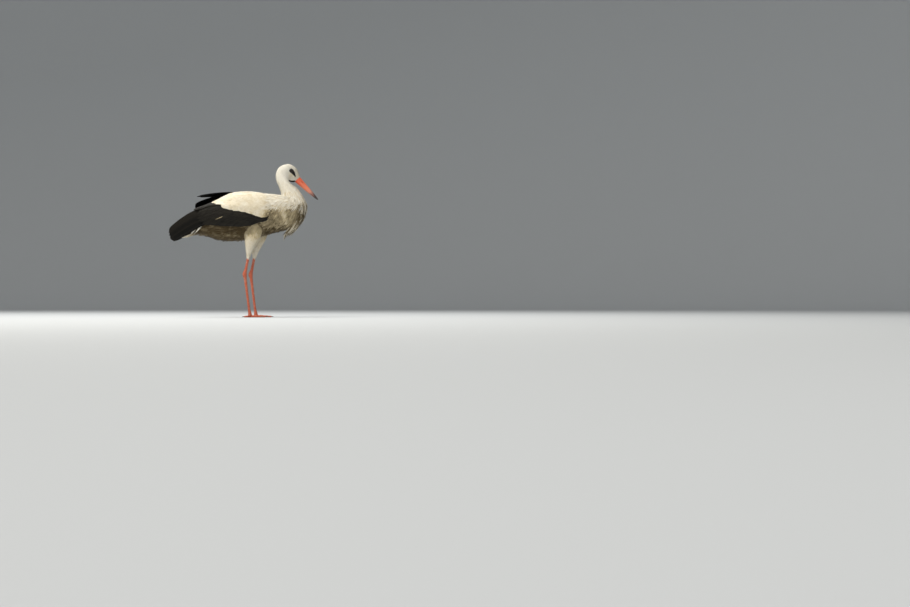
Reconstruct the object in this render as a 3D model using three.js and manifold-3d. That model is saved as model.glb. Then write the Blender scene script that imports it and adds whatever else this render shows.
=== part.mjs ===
// A life-size standing white stork, wings folded and neck drawn in, bill pointing down.
// Millimetres, +X the way the bird faces, +Y its left, +Z up, feet on Z = 0.
// Every solid is a map from a unit rod (t along it, p and q across it) to its place.
import * as THREE from "three";
import { mergeVertices } from "three/addons/utils/BufferGeometryUtils.js";
import Module from "manifold-3d";

const wasm = await Module();
wasm.setup();

// Driving dimensions.
const BILL_LENGTH = 153;
const BILL_DROP = THREE.MathUtils.degToRad(44.6); // how far the bill points below level
const BILL_BASE = [287.5, 736.5]; // X and Z of the middle of the bill's base
const EYE_RADIUS = 8.6;
const EYE_CENTRE = [252, 19.4, 781]; // of the left eye
const ANKLE_HEIGHT = 226;
const FEATHERED_LEG_END = 322; // where the thigh's feathers stop above the floor
const FOOT_OUT = 50; // from the middle plane to each foot
const FOOT_FORWARD = { r: 34, l: 66 }; // the left foot stands a little ahead
const TOE_THICK = 8.6;
const GAP = 0.4; // between solids that touch
const COLOURS = {
  white: 0xe9e2d2,
  black: 0x1c1a18,
  bill: 0xdb5a35,
  leg: 0xc9503a,
  eye: 0x16110e,
  claw: 0x3a2c26,
};

// The body from the bill's base over head, neck and trunk to the tail's root. Each station
// is a section that holds the Y axis: back and belly are its two ends in the XZ plane, half
// its half width, and waist how far up from the belly it is widest.
const BODY = [
  { back: [299, 750], belly: [274, 725], half: 12, waist: 0.5 },
  { back: [292, 771], belly: [263, 722], half: 17, waist: 0.5 },
  { back: [276, 801], belly: [249, 724], half: 24, waist: 0.54 },
  { back: [238, 820], belly: [241, 724], half: 29, waist: 0.6 },
  { back: [193, 805], belly: [244, 719], half: 32, waist: 0.58 },
  { back: [172, 768], belly: [260, 707], half: 33, waist: 0.54 },
  { back: [175, 728], belly: [281, 693], half: 38, waist: 0.5 },
  { back: [191, 690], belly: [305, 662], half: 45, waist: 0.48 },
  { back: [200, 658], belly: [330, 607], half: 61, waist: 0.46 },
  { back: [188, 652], belly: [329, 556], half: 74, waist: 0.48 },
  { back: [160, 655], belly: [298, 504], half: 84, waist: 0.52 },
  { back: [119, 658], belly: [240, 473], half: 89, waist: 0.56 },
  { back: [74, 660], belly: [168, 455], half: 91, waist: 0.58 },
  { back: [24, 659], belly: [80, 430], half: 91, waist: 0.58 },
  { back: [-28, 652], belly: [-18, 411], half: 88, waist: 0.57 },
  { back: [-86, 630], belly: [-112, 410], half: 79, waist: 0.55 },
  { back: [-138, 596], belly: [-183, 429], half: 60, waist: 0.53 },
  { back: [-186, 553], belly: [-234, 442], half: 38, waist: 0.5 },
  { back: [-222, 512], belly: [-250, 452], half: 20, waist: 0.5 },
];
// The body's lengths, by station number, from the bill back.
const BODY_PARTS = {
  head: [0, 4],
  neck_upper: [4, 6],
  neck_middle: [6, 7],
  neck_lower: [7, 9],
  breast: [9, 11],
  trunk: [11, 15],
  rump: [15, 18],
};

// Plates of feathers. Each station has its upper edge a, its lower edge b, how far the middle
// bulges out from the line between them, and its thickness. Y here is outwards, and the
// left and right plates are mirror images.
const SCAPULARS = [
  { a: [152, 22, 648], b: [156, 66, 606], bulge: [0, 5, 4], thick: 8 },
  { a: [112, 12, 661], b: [106, 92, 594], bulge: [0, 12, 12], thick: 18 },
  { a: [52, 9, 671], b: [44, 102, 590], bulge: [0, 15, 16], thick: 24 },
  { a: [-8, 9, 671], b: [-20, 103, 596], bulge: [0, 15, 16], thick: 26 },
  { a: [-64, 10, 660], b: [-80, 96, 596], bulge: [0, 13, 12], thick: 24 },
  { a: [-120, 18, 634], b: [-132, 84, 600], bulge: [0, 8, 6], thick: 16 },
  { a: [-178, 36, 604], b: [-186, 62, 594], bulge: [0, 3, 2], thick: 6 },
];
const WING_COVERTS = [
  { a: [160, 66, 604], b: [150, 82, 522], bulge: [0, 10, 0], thick: 12 },
  { a: [122, 90, 591], b: [114, 100, 516], bulge: [0, 9, 0], thick: 26 },
  { a: [72, 101, 587], b: [77, 106, 525], bulge: [0, 7, 0], thick: 30 },
  { a: [20, 103, 590], b: [30, 109, 549], bulge: [0, 5, 0], thick: 28 },
  { a: [-30, 101, 593], b: [-25, 107, 561], bulge: [0, 4, 0], thick: 24 },
  { a: [-85, 94, 595], b: [-90, 99, 576], bulge: [0, 3, 0], thick: 16 },
  { a: [-132, 83, 599], b: [-134, 86, 591], bulge: [0, 1, 0], thick: 8 },
];
const SECONDARIES = [
  { a: [104, 102, 520], b: [114, 94, 505], bulge: [0, 2, 0], thick: 8 },
  { a: [77, 106, 524], b: [77, 97, 497], bulge: [0, 4, 0], thick: 18 },
  { a: [30, 109, 547], b: [35, 97, 483], bulge: [0, 8, 0], thick: 24 },
  { a: [-25, 107, 559], b: [-18, 94, 478], bulge: [0, 10, 0], thick: 24 },
  { a: [-90, 99, 574], b: [-81, 88, 480], bulge: [0, 10, 0], thick: 20 },
  { a: [-138, 86, 588], b: [-133, 80, 483], bulge: [0, 9, 0], thick: 16 },
  { a: [-184, 70, 586], b: [-178, 72, 487], bulge: [0, 7, 0], thick: 12 },
  { a: [-222, 58, 572], b: [-212, 63, 490], bulge: [0, 4, 0], thick: 6 },
];
const TERTIALS = [
  { a: [-112, 14, 628], b: [-140, 76, 596], bulge: [0, 6, 5], thick: 10 },
  { a: [-165, 14, 604], b: [-182, 70, 588], bulge: [0, 6, 6], thick: 12 },
  { a: [-208, 16, 588], b: [-220, 58, 574], bulge: [0, 5, 4], thick: 9 },
  { a: [-254, 24, 573], b: [-258, 42, 567], bulge: [0, 1, 1], thick: 4 },
];
const PRIMARIES = [
  { a: [-176, 60, 580], b: [-170, 62, 492], bulge: [0, 4, 0], thick: 10 },
  { a: [-228, 50, 572], b: [-216, 54, 484], bulge: [0, 4, 0], thick: 12 },
  { a: [-292, 37, 550], b: [-266, 43, 458], bulge: [0, 4, 0], thick: 11 },
  { a: [-346, 27, 513], b: [-326, 32, 425], bulge: [0, 3, 0], thick: 9 },
  { a: [-383, 20, 484], b: [-370, 25, 406], bulge: [0, 2, 0], thick: 6 },
  { a: [-395, 18, 468], b: [-391, 22, 414], bulge: [0, 1, 0], thick: 3 },
];
// The left wing's tertials stand up off the rump, the longest one apart from the rest.
const LIFTED_TERTIALS = [
  { a: [-84, 12, 660], b: [-104, 52, 642], bulge: [0, 4, 4], thick: 7 },
  { a: [-128, 13, 649], b: [-150, 58, 612], bulge: [0, 8, 6], thick: 9 },
  { a: [-190, 16, 629], b: [-204, 52, 594], bulge: [0, 6, 5], thick: 8 },
  { a: [-236, 22, 609], b: [-242, 42, 582], bulge: [0, 4, 3], thick: 6 },
  { a: [-254, 27, 592], b: [-252, 33, 580], bulge: [0, 1, 1], thick: 3 },
];
const LIFTED_FEATHER = [
  { a: [-66, 6, 666], b: [-70, 40, 661], bulge: [0, 0, 4], thick: 5 },
  { a: [-122, 6, 662], b: [-124, 38, 657], bulge: [0, 0, 4], thick: 5 },
  { a: [-186, 10, 655], b: [-186, 32, 651], bulge: [0, 0, 2], thick: 4 },
  { a: [-238, 18, 646], b: [-238, 22, 645], bulge: [0, 0, 0], thick: 2 },
];
// The tail hangs under the wing tips, its two edges a and b either side of the middle, with
// the long coverts below it.
const TAIL = [
  { a: [-188, -26, 508], b: [-188, 26, 508], bulge: [0, 0, 8], thick: 46 },
  { a: [-236, -35, 474], b: [-236, 35, 474], bulge: [0, 0, 9], thick: 40 },
  { a: [-276, -39, 444], b: [-276, 39, 444], bulge: [0, 0, 7], thick: 20 },
  { a: [-306, -35, 428], b: [-306, 35, 428], bulge: [0, 0, 4], thick: 5 },
];
// Long pointed feathers that hang from the breast, a the front edge and b the rear one.
const HACKLES = [
  { a: [332, 0, 574], b: [272, 0, 560], bulge: [0, 0, 0], thick: 96 },
  { a: [325, 0, 536], b: [250, 0, 498], bulge: [0, 0, 0], thick: 104 },
  { a: [304, 0, 500], b: [226, 0, 458], bulge: [0, 0, 0], thick: 86 },
  { a: [272, 0, 462], b: [210, 0, 440], bulge: [0, 0, 0], thick: 56 },
  { a: [240, 0, 426], b: [208, 0, 420], bulge: [0, 0, 0], thick: 24 },
];

// Limbs of round section. Each station has its centre, and its radii fore and aft and across.
const THIGH = [
  { at: [52, 40, 500], fore: 26, side: 16 },
  { at: [48, 48, 462], fore: 48, side: 29 },
  { at: [43, 52, 424], fore: 44, side: 29 },
  { at: [35, 52, 388], fore: 31, side: 24 },
  { at: [27, 51, 352], fore: 20, side: 17 },
  { at: [22, 51, FEATHERED_LEG_END], fore: 11, side: 10 },
];
const SHANK = [
  { at: [22, 51, FEATHERED_LEG_END - GAP], fore: 7.4, side: 6.4 },
  { at: [15, 50, 286], fore: 7, side: 6 },
  { at: [7, FOOT_OUT, 250], fore: 8, side: 7 },
  { at: [4, FOOT_OUT, 240], fore: 9.6, side: 8.4 },
];
const TARSUS = [
  { at: [4, FOOT_OUT, 240 - GAP], fore: 9.8, side: 8.6 },
  { at: [2, FOOT_OUT, ANKLE_HEIGHT], fore: 11.4, side: 9.4 },
  { at: [6, FOOT_OUT, 204], fore: 8.2, side: 6.6 },
  { at: [16, FOOT_OUT, 120], fore: 6.2, side: 5 },
  { at: [26, FOOT_OUT, 42], fore: 6.6, side: 6 },
  { at: [30, FOOT_OUT, 20], fore: 9, side: 9.6 },
  { at: [31, FOOT_OUT, 0], fore: 11, side: 11.5 },
];
const LEG_REACH = 31; // how far the foot stands ahead of the ankle's own place
// Toes, spread from straight ahead and outwards. Rise lifts the hind toe's root.
const TOES = {
  middle: { turn: 2, length: 84, root: 11 },
  inner: { turn: -30, length: 64, root: 10 },
  outer: { turn: 32, length: 70, root: 10 },
  hind: { turn: 172, length: 34, root: 9.5 },
};
const CLAW_LENGTH = 11;

// One number or list of numbers of the stations, run through as a smooth curve.
function along(stations, key) {
  const points = stations.map((s) => {
    const value = [s[key]].flat();
    return new THREE.Vector3(value[0], value[1] ?? 0, value[2] ?? 0);
  });
  const curve = new THREE.CatmullRomCurve3(points, false, "catmullrom");
  return (t) => curve.getPoint(t);
}

// A closed rod of unit radius with each of its points carried to place(t, p, q).
function solid(place, { sides = 16, steps = 10, from = 0, to = 1 } = {}) {
  const rod = new THREE.CylinderGeometry(1, 1, 1, sides, steps);
  const at = rod.getAttribute("position");
  for (let i = 0; i < at.count; i += 1) {
    const t = from + (to - from) * (0.5 - at.getY(i));
    const point = place(t, at.getX(i), at.getZ(i));
    at.setXYZ(i, point.x, point.y, point.z);
  }
  return facingOut(merged(rod));
}

function merged(geometry) {
  const bare = geometry.clone();
  bare.deleteAttribute("normal");
  bare.deleteAttribute("uv");
  return mergeVertices(bare, 1e-3);
}

// The same closed surface, turned so that its faces point outwards.
function facingOut(geometry) {
  const at = geometry.getAttribute("position");
  const index = geometry.index.array;
  const [a, b, c] = [new THREE.Vector3(), new THREE.Vector3(), new THREE.Vector3()];
  let volume = 0;
  for (let i = 0; i < index.length; i += 3) {
    a.fromBufferAttribute(at, index[i]);
    b.fromBufferAttribute(at, index[i + 1]);
    c.fromBufferAttribute(at, index[i + 2]);
    volume += a.dot(b.cross(c));
  }
  if (volume > 0) return geometry;
  for (let i = 0; i < index.length; i += 3) {
    [index[i + 1], index[i + 2]] = [index[i + 2], index[i + 1]];
  }
  return geometry;
}

// A length of the body: sections between the back and belly curves.
function bodySolid(from, to, options = {}) {
  const back = along(BODY, "back");
  const belly = along(BODY, "belly");
  const half = along(BODY, "half");
  const waist = along(BODY, "waist");
  const last = BODY.length - 1;
  const place = (t, p, q) => {
    const low = belly(t);
    const line = back(t).sub(low);
    const level = waist(t).x;
    const height = level + (q > 0 ? (1 - level) * q : level * q);
    return new THREE.Vector3(
      low.x + line.x * height,
      half(t).x * p,
      low.y + line.y * height,
    );
  };
  return solid(place, { from: from / last, to: to / last, ...options });
}

// How much of a station's length makes a gap of GAP where the two curves run slowest.
function gapAt(station) {
  const last = BODY.length - 1;
  const step = 0.02;
  const speeds = ["back", "belly"].map((key) => {
    const curve = along(BODY, key);
    return curve((station + step) / last).distanceTo(curve(station / last)) / step;
  });
  return GAP / Math.min(...speeds);
}

// A plate between its edge curves a and b, bulging at the middle. It reaches out from its
// middle surface by no more than face and in by the rest of its thickness, its section is
// squarer than an ellipse, and its ends are round.
function plateSolid(stations, side, { face = 5, sides = 10, steps = 10 } = {}) {
  const edgeA = along(stations, "a");
  const edgeB = along(stations, "b");
  const bulge = along(stations, "bulge");
  const thick = along(stations, "thick");
  const squarer = (value) => Math.sign(value) * Math.abs(value) ** 0.75;
  const middle = (t, q) =>
    edgeB(t)
      .lerp(edgeA(t), (q + 1) / 2)
      .addScaledVector(bulge(t), 1 - q * q);
  const small = 0.01;
  const place = (u, p, q) => {
    const t = (1 - Math.cos(Math.PI * u)) / 2;
    const round = Math.sqrt(Math.min(1, 0.3 + (t * (1 - t)) / 0.08));
    const across = squarer(q) * round;
    const ahead = Math.min(t + small, 1);
    const run = middle(ahead, across).sub(middle(ahead - small, across));
    const span = middle(t, across + small).sub(middle(t, across - small));
    const normal = run.cross(span).normalize();
    const out = Math.min(face, thick(t).x / 2);
    const depth = p > 0 ? out : thick(t).x - out;
    const point = middle(t, across).addScaledVector(normal, squarer(p) * depth * round);
    point.y *= side;
    return point;
  };
  return solid(place, { sides, steps });
}

// A limb of level sections round its centre curve.
function limbSolid(stations, side, shift = 0, options = {}) {
  const centre = along(stations, "at");
  const fore = along(stations, "fore");
  const across = along(stations, "side");
  const place = (t, p, q) => {
    const c = centre(t);
    return new THREE.Vector3(
      c.x + shift + fore(t).x * q,
      side * (c.y + across(t).x * p),
      c.z,
    );
  };
  return solid(place, { sides: 10, steps: stations.length + 2, ...options });
}

// A toe runs along +X from the foot, thick at its root and joints, its sole flat on Z = 0.
function toeSolid({ length, root }) {
  const place = (t, p, q) => {
    const joints = 1 + 0.07 * Math.cos(t * Math.PI * 6);
    const width = THREE.MathUtils.lerp(root, 5.4, t) * joints;
    const height = THREE.MathUtils.lerp(root * 0.62, TOE_THICK * 0.42, t) * joints;
    const roundTip = Math.sqrt(Math.max(0.2, 1 - Math.max(0, (t - 0.9) / 0.1) ** 2));
    return new THREE.Vector3(
      length * t,
      (width / 2) * p * roundTip,
      height * 0.8 + height * q * roundTip,
    );
  };
  return solid(place, { sides: 8, steps: 5 });
}

// A blunt claw that goes on from the toe's tip and bends down to the floor.
function clawSolid(length) {
  const place = (t, p, q) => {
    const radius = 2.5 * (1 - t) ** 0.7 + 0.4;
    return new THREE.Vector3(
      length + GAP + CLAW_LENGTH * t,
      radius * 0.85 * p,
      3.2 + 0.6 * t - 2.6 * t * t + radius * q,
    );
  };
  return solid(place, { sides: 6, steps: 3 });
}

// Half the bill: rise is +1 for the upper half and -1 for the lower one.
function billSolid(rise) {
  const depthAtBase = rise > 0 ? 19 : 14.5;
  const gape = (t) => -2.5 + 1.5 * t;
  const place = (t, p, q) => {
    const taper = (1 - t) ** 0.86;
    const depth = depthAtBase * taper + 0.7;
    const width = 11.6 * (1 - t) ** 0.8 + 0.7;
    const share = (q + 1) / 2;
    const ridge = rise > 0 ? Math.sqrt(1 - 0.55 * share) : Math.sqrt(1 - 0.6 * share);
    return new THREE.Vector3(
      GAP + (BILL_LENGTH - GAP) * t,
      width * p * ridge,
      gape(t) + rise * (0.15 + depth * share),
    );
  };
  return solid(place, { sides: 12, steps: 5 });
}

function toManifold(geometry) {
  return new wasm.Manifold(
    new wasm.Mesh({
      numProp: 3,
      vertProperties: new Float32Array(geometry.getAttribute("position").array),
      triVerts: new Uint32Array(geometry.index.array),
    }),
  );
}

function toGeometry(manifold) {
  const mesh = manifold.getMesh();
  return new THREE.BufferGeometry()
    .setAttribute("position", new THREE.BufferAttribute(mesh.vertProperties, 3))
    .setIndex(new THREE.BufferAttribute(mesh.triVerts, 1));
}

// The geometry with each vertex moved out by GAP.
function grown(geometry) {
  const bigger = geometry.clone();
  bigger.computeVertexNormals();
  const at = bigger.getAttribute("position");
  const normal = bigger.getAttribute("normal");
  for (let i = 0; i < at.count; i += 1) {
    at.setXYZ(
      i,
      at.getX(i) + GAP * normal.getX(i),
      at.getY(i) + GAP * normal.getY(i),
      at.getZ(i) + GAP * normal.getZ(i),
    );
  }
  bigger.deleteAttribute("normal");
  return bigger;
}

// The largest piece that is left of a geometry once the others, grown by GAP, are cut away.
function cutBy(geometry, others) {
  const left = others.reduce(
    (rest, other) => rest.subtract(toManifold(grown(other))),
    toManifold(geometry),
  );
  const pieces = left.decompose().sort((one, two) => two.volume() - one.volume());
  return toGeometry(pieces[0]);
}

function aboveFloor(geometry) {
  return toGeometry(toManifold(geometry).trimByPlane([0, 0, 1], 0));
}

const material = (colour, roughness) =>
  new THREE.MeshStandardMaterial({ color: colour, roughness, metalness: 0 });
const finishes = {
  white: material(COLOURS.white, 0.85),
  black: material(COLOURS.black, 0.6),
  bill: material(COLOURS.bill, 0.45),
  leg: material(COLOURS.leg, 0.6),
  eye: material(COLOURS.eye, 0.1),
  claw: material(COLOURS.claw, 0.5),
};

const stork = new THREE.Group();

function add(name, geometry, finish, parent = stork) {
  const mesh = new THREE.Mesh(geometry, finishes[finish]);
  mesh.name = name;
  parent.add(mesh);
  return mesh;
}

// Wings: each plate gives way to the ones that lie over it.
function wing(name, side, tertialPlates) {
  const scapulars = plateSolid(SCAPULARS, side);
  const coverts = cutBy(plateSolid(WING_COVERTS, side), [scapulars]);
  const secondaries = cutBy(plateSolid(SECONDARIES, side), [scapulars, coverts]);
  const over = [scapulars, coverts, secondaries];
  const tertials = {};
  for (const [plate, stations] of Object.entries(tertialPlates)) {
    tertials[plate] = cutBy(plateSolid(stations, side, { steps: 8 }), over);
    over.push(tertials[plate]);
  }
  const primaries = cutBy(plateSolid(PRIMARIES, side), over);
  add(`scapulars_${name}`, scapulars, "white");
  add(`wing_coverts_${name}`, coverts, "white");
  add(`secondaries_${name}`, secondaries, "black");
  for (const plate of Object.keys(tertials)) add(`${plate}_${name}`, tertials[plate], "black");
  add(`primaries_${name}`, primaries, "black");
  return [...over, primaries];
}

const wingSolids = [
  ...wing("r", -1, { tertials: TERTIALS }),
  ...wing("l", 1, {
    lifted_feather: LIFTED_FEATHER,
    lifted_tertials: LIFTED_TERTIALS,
    tertials: TERTIALS,
  }),
];

// Legs, one mesh for each length, toe and claw.
const thighs = [];
for (const [name, side] of [
  ["r", -1],
  ["l", 1],
]) {
  const shift = FOOT_FORWARD[name] - LEG_REACH;
  const thigh = limbSolid(THIGH, side, shift, { sides: 12 });
  thighs.push(thigh);
  add(`thigh_${name}`, thigh, "white");
  add(`shank_${name}`, limbSolid(SHANK, side, shift), "leg");
  const tarsus = limbSolid(TARSUS, side, shift);
  add(`tarsus_${name}`, tarsus, "leg");

  const foot = new THREE.Group();
  foot.position.set(FOOT_FORWARD[name], side * FOOT_OUT, 0);
  foot.updateMatrix();
  stork.add(foot);
  const made = [tarsus.clone().applyMatrix4(foot.matrix.clone().invert())];
  for (const [toe, size] of Object.entries(TOES)) {
    const turned = new THREE.Matrix4().makeRotationZ(
      THREE.MathUtils.degToRad(size.turn * side),
    );
    const whole = aboveFloor(toeSolid(size)).applyMatrix4(turned);
    const toeLeft = cutBy(whole, made);
    made.push(whole);
    add(`toe_${toe}_${name}`, toeLeft, "leg", foot);
    const claw = aboveFloor(clawSolid(size.length)).applyMatrix4(turned);
    add(`claw_${toe}_${name}`, cutBy(claw, [whole]), "claw", foot);
  }
}

// Eyes and bill.
const eyes = [];
for (const [name, side] of [
  ["r", -1],
  ["l", 1],
]) {
  const ball = merged(new THREE.SphereGeometry(EYE_RADIUS, 12, 8));
  ball.translate(EYE_CENTRE[0], side * EYE_CENTRE[1], EYE_CENTRE[2]);
  eyes.push(ball);
  add(`eye_${name}`, ball, "eye");
}
const bill = new THREE.Group();
bill.position.set(BILL_BASE[0], 0, BILL_BASE[1]);
bill.rotation.y = BILL_DROP;
stork.add(bill);
add("bill_upper", billSolid(1), "bill", bill);
add("bill_lower", billSolid(-1), "bill", bill);

// Tail, hackles and the lengths of the body, which give way to all that lies on them.
const hackles = plateSolid(HACKLES, 1, { face: Infinity, sides: 14 });
const tail = cutBy(plateSolid(TAIL, 1), wingSolids);
add("tail", tail, "white");
add("breast_hackles", hackles, "white");
const onBody = [...wingSolids, ...thighs, ...eyes, hackles, tail];
for (const [name, [from, to]] of Object.entries(BODY_PARTS)) {
  const start = from === 0 ? from : from + gapAt(from);
  const length = bodySolid(start, to, { sides: 18, steps: 2 * (to - from) });
  add(name, cutBy(length, onBody), "white");
}

export default stork;
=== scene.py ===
"""A life-size standing white stork: one skin, and over it feathers laid one by one.

Lengths in the tables are millimetres, as in the solids, and MM brings them to metres. The bird
faces +X, its left is +Y, and its soles are on Z = 0. What both sides have is worked out for the
left one and mirrored.
"""

import math

import bpy
import numpy as np
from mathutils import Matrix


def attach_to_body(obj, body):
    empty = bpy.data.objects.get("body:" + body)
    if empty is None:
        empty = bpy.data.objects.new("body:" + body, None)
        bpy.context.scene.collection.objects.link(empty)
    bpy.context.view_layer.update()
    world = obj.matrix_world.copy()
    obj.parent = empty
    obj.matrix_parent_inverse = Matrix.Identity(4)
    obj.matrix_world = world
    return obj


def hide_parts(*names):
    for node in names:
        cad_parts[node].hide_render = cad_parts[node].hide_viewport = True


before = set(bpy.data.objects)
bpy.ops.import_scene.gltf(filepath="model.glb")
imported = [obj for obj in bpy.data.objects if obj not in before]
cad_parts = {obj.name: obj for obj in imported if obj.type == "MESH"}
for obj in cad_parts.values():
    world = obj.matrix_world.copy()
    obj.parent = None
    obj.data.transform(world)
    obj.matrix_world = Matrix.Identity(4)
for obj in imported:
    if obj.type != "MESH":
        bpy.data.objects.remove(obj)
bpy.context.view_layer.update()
MM = 0.001
LEFT, RIGHT = 1, -1
SIDES = {"r": RIGHT, "l": LEFT}

# Body stations from the bill's base to the tail's root: the section's upper end (X, Z), its lower
# end (X, Z), its half width, and how far up it is widest.
BODY = np.array([
    [299, 750, 274, 725, 12, 0.50],
    [292, 771, 263, 722, 17, 0.50],
    [276, 801, 249, 724, 24, 0.54],
    [238, 820, 241, 724, 29, 0.60],
    [193, 805, 244, 719, 32, 0.58],
    [172, 768, 260, 707, 33, 0.54],
    [175, 728, 281, 693, 38, 0.50],
    [191, 690, 305, 662, 45, 0.48],
    [200, 658, 330, 607, 61, 0.46],
    [188, 652, 329, 556, 74, 0.48],
    [160, 655, 298, 504, 84, 0.52],
    [119, 658, 240, 473, 89, 0.56],
    [74, 660, 168, 455, 91, 0.58],
    [24, 659, 80, 430, 91, 0.58],
    [-28, 652, -18, 411, 88, 0.57],
    [-86, 630, -112, 410, 79, 0.55],
    [-138, 596, -183, 429, 60, 0.53],
    [-186, 553, -234, 442, 38, 0.50],
    [-222, 512, -250, 452, 20, 0.50],
])
LAST = len(BODY) - 1  # station numbers run from 0 to this, and shares of the body from 0 to 1

# Lines along the folded left wing, from its front to its rear (X, Y, Z): along the back, over the
# shoulder feathers, where those end, where white turns to black, along the secondaries and below.
WING_LINES = [
    [[168, 20, 640], [112, 12, 659], [52, 9, 669], [-8, 9, 669], [-64, 10, 661], [-120, 18, 635],
     [-178, 36, 605], [-228, 44, 584]],
    [[172, 50, 622], [109, 64, 641], [48, 70, 648], [-14, 71, 650], [-72, 66, 641],
     [-126, 59, 624], [-182, 54, 601], [-232, 52, 582]],
    [[172, 74, 590], [122, 94, 594], [72, 104, 592], [20, 107, 594], [-30, 106, 595],
     [-85, 98, 596], [-132, 84, 599], [-190, 66, 594], [-236, 56, 578]],
    [[166, 80, 548], [114, 106, 530], [77, 111, 532], [30, 113, 550], [-25, 111, 562],
     [-90, 103, 574], [-134, 90, 584], [-190, 73, 578], [-238, 60, 566]],
    [[160, 80, 522], [109, 104, 512], [77, 108, 511], [32, 113, 515], [-22, 112, 519],
     [-86, 105, 527], [-135, 94, 535], [-190, 78, 540], [-240, 62, 540]],
    [[150, 80, 514], [112, 96, 504], [77, 100, 497], [35, 100, 483], [-18, 98, 478],
     [-81, 91, 479], [-133, 83, 482], [-178, 75, 486], [-242, 60, 494]],
]
# How far down the wing the white reaches, as a share of its breadth at each X.
WHITE_EDGE = np.array([[-186, 0.37], [-160, 0.38], [-142, 0.43], [-120, 0.53], [-105, 0.55],
                       [-78, 0.60], [120, 0.60]])
WING_FRONT, WING_REAR = 166, -240  # the X that the wing's surface runs between

def across(rows):
    """The stations of a sheet that lies evenly to both sides of the bird, from its X, half
    width to the second edge, Z and upward bulge."""
    return [[[x, -half, z], [x, half, z], [0, 0, bulge]] for x, half, z, bulge in rows]


# Sheets of long feathers, each station with its upper or right edge, its lower or left edge, and
# the bulge of its middle (all X, Y, Z).
PRIMARY_SHEET = [
    [[-150, 66, 580], [-140, 68, 498], [0, 4, 0]],
    [[-200, 56, 578], [-190, 58, 490], [0, 4, 0]],
    [[-250, 47, 570], [-236, 50, 474], [0, 4, 0]],
    [[-300, 37, 544], [-280, 42, 450], [0, 4, 0]],
    [[-346, 28, 512], [-326, 32, 424], [0, 3, 0]],
    [[-380, 22, 488], [-358, 26, 408], [0, 2, 0]],
    [[-402, 17, 468], [-386, 21, 398], [0, 1, 0]],
]
TERTIAL_SHEET = [
    [[-80, 12, 644], [-110, 80, 604], [0, 6, 6]],
    [[-120, 14, 628], [-145, 76, 600], [0, 6, 6]],
    [[-168, 15, 606], [-184, 70, 592], [0, 6, 6]],
    [[-212, 17, 590], [-222, 60, 577], [0, 5, 4]],
    [[-258, 24, 573], [-262, 46, 566], [0, 2, 2]],
]
LIFTED_SHEET = [
    [[-50, 10, 668], [-80, 60, 644], [0, 4, 4]],
    [[-84, 11, 663], [-110, 62, 626], [0, 6, 4]],
    [[-128, 12, 652], [-150, 62, 606], [0, 8, 6]],
    [[-190, 16, 630], [-204, 56, 586], [0, 6, 5]],
    [[-240, 22, 609], [-246, 44, 572], [0, 4, 3]],
    [[-264, 26, 594], [-266, 36, 562], [0, 2, 2]],
]
SPIKE_SHEET = [
    [[-30, 6, 671], [-34, 36, 648], [0, 3, 3]],
    [[-66, 6, 671], [-70, 36, 646], [0, 3, 3]],
    [[-122, 6, 666], [-124, 36, 642], [0, 3, 3]],
    [[-186, 9, 657], [-186, 33, 639], [0, 2, 2]],
    [[-248, 12, 646], [-248, 28, 634], [0, 1, 1]],
]
MANTLE_SHEET = across([
    [182, 20, 638, 4], [112, 17, 657, 3], [52, 16, 667, 3], [-8, 16, 667, 3], [-64, 17, 659, 3],
    [-120, 21, 633, 4], [-156, 26, 604, 6],
])
TAIL_SHEET = across([
    [-150, 22, 545, 8], [-190, 27, 512, 8], [-236, 35, 478, 8], [-276, 40, 449, 6],
    [-308, 40, 429, 4],
])
UPPER_TAIL_SHEET = across([
    [-146, 34, 594, 12], [-190, 38, 553, 13], [-228, 38, 512, 13], [-266, 38, 472, 10],
    [-304, 38, 438, 4],
])
UNDER_TAIL_SHEET = across([
    [-150, -30, 440, -6], [-200, -32, 446, -8], [-236, -34, 448, -6], [-272, -36, 438, -4],
    [-300, -36, 430, -2],
])
VENT_SHEET = [
    [[-247, 31, 494], [-178, 38, 510], [0, 2, 0]],
    [[-272, 29, 462], [-207, 37, 473], [0, 2, 0]],
    [[-292, 26, 433], [-236, 34, 437], [0, 1, 0]],
]

# Left leg from the knee's feathers to the sole: centre X, Y, Z, half width fore and aft, and
# across. The left leg stands further forward.
THIGH = np.array([
    [56, 48, 530, 30, 33],
    [54, 49, 500, 40, 31],
    [50, 50, 472, 45, 28],
    [46, 51, 444, 45, 26],
    [41, 52, 414, 38, 25],
    [34, 52, 384, 28, 21],
    [27, 51, 352, 17, 15],
    [22, 51, 322, 9, 8],
])
LEG = np.array([
    [25, 51, 345, 8.2, 7.0],
    [22, 51, 322, 7.2, 6.2],
    [15, 50, 286, 6.6, 5.8],
    [9, 50, 256, 7.4, 6.6],
    [4, 50, 240, 9.6, 8.8],
    [2, 50, 228, 11.0, 9.6],
    [3, 50, 216, 9.6, 8.0],
    [6, 50, 200, 7.4, 6.2],
    [16, 50, 120, 6.0, 4.9],
    [25, 50, 48, 6.2, 5.4],
    [29, 50, 24, 8.4, 8.4],
    [31, 50, 9, 10.5, 11.0],
])
LEG_SHIFT = {"r": 3, "l": 35}  # how far each leg stands ahead of the tables
FOOT_X, FOOT_Y = 31, 50
TOES = {  # turn outwards in degrees, length, width at the root
    "middle": (2, 84, 11.0),
    "inner": (-30, 64, 10.0),
    "outer": (32, 70, 10.0),
    "hind": (172, 34, 9.5),
}
CLAW_LENGTH = 11

EYE = np.array([252, 19.4, 781])
EYE_RADIUS, EYE_RING = 8.6, 9.6  # the ball's, and the bare ring's round it
BILL_BASE = np.array([287.5, 0, 736.5])
BILL_LENGTH = 153
BILL_DROP = math.radians(44.6)

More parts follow.
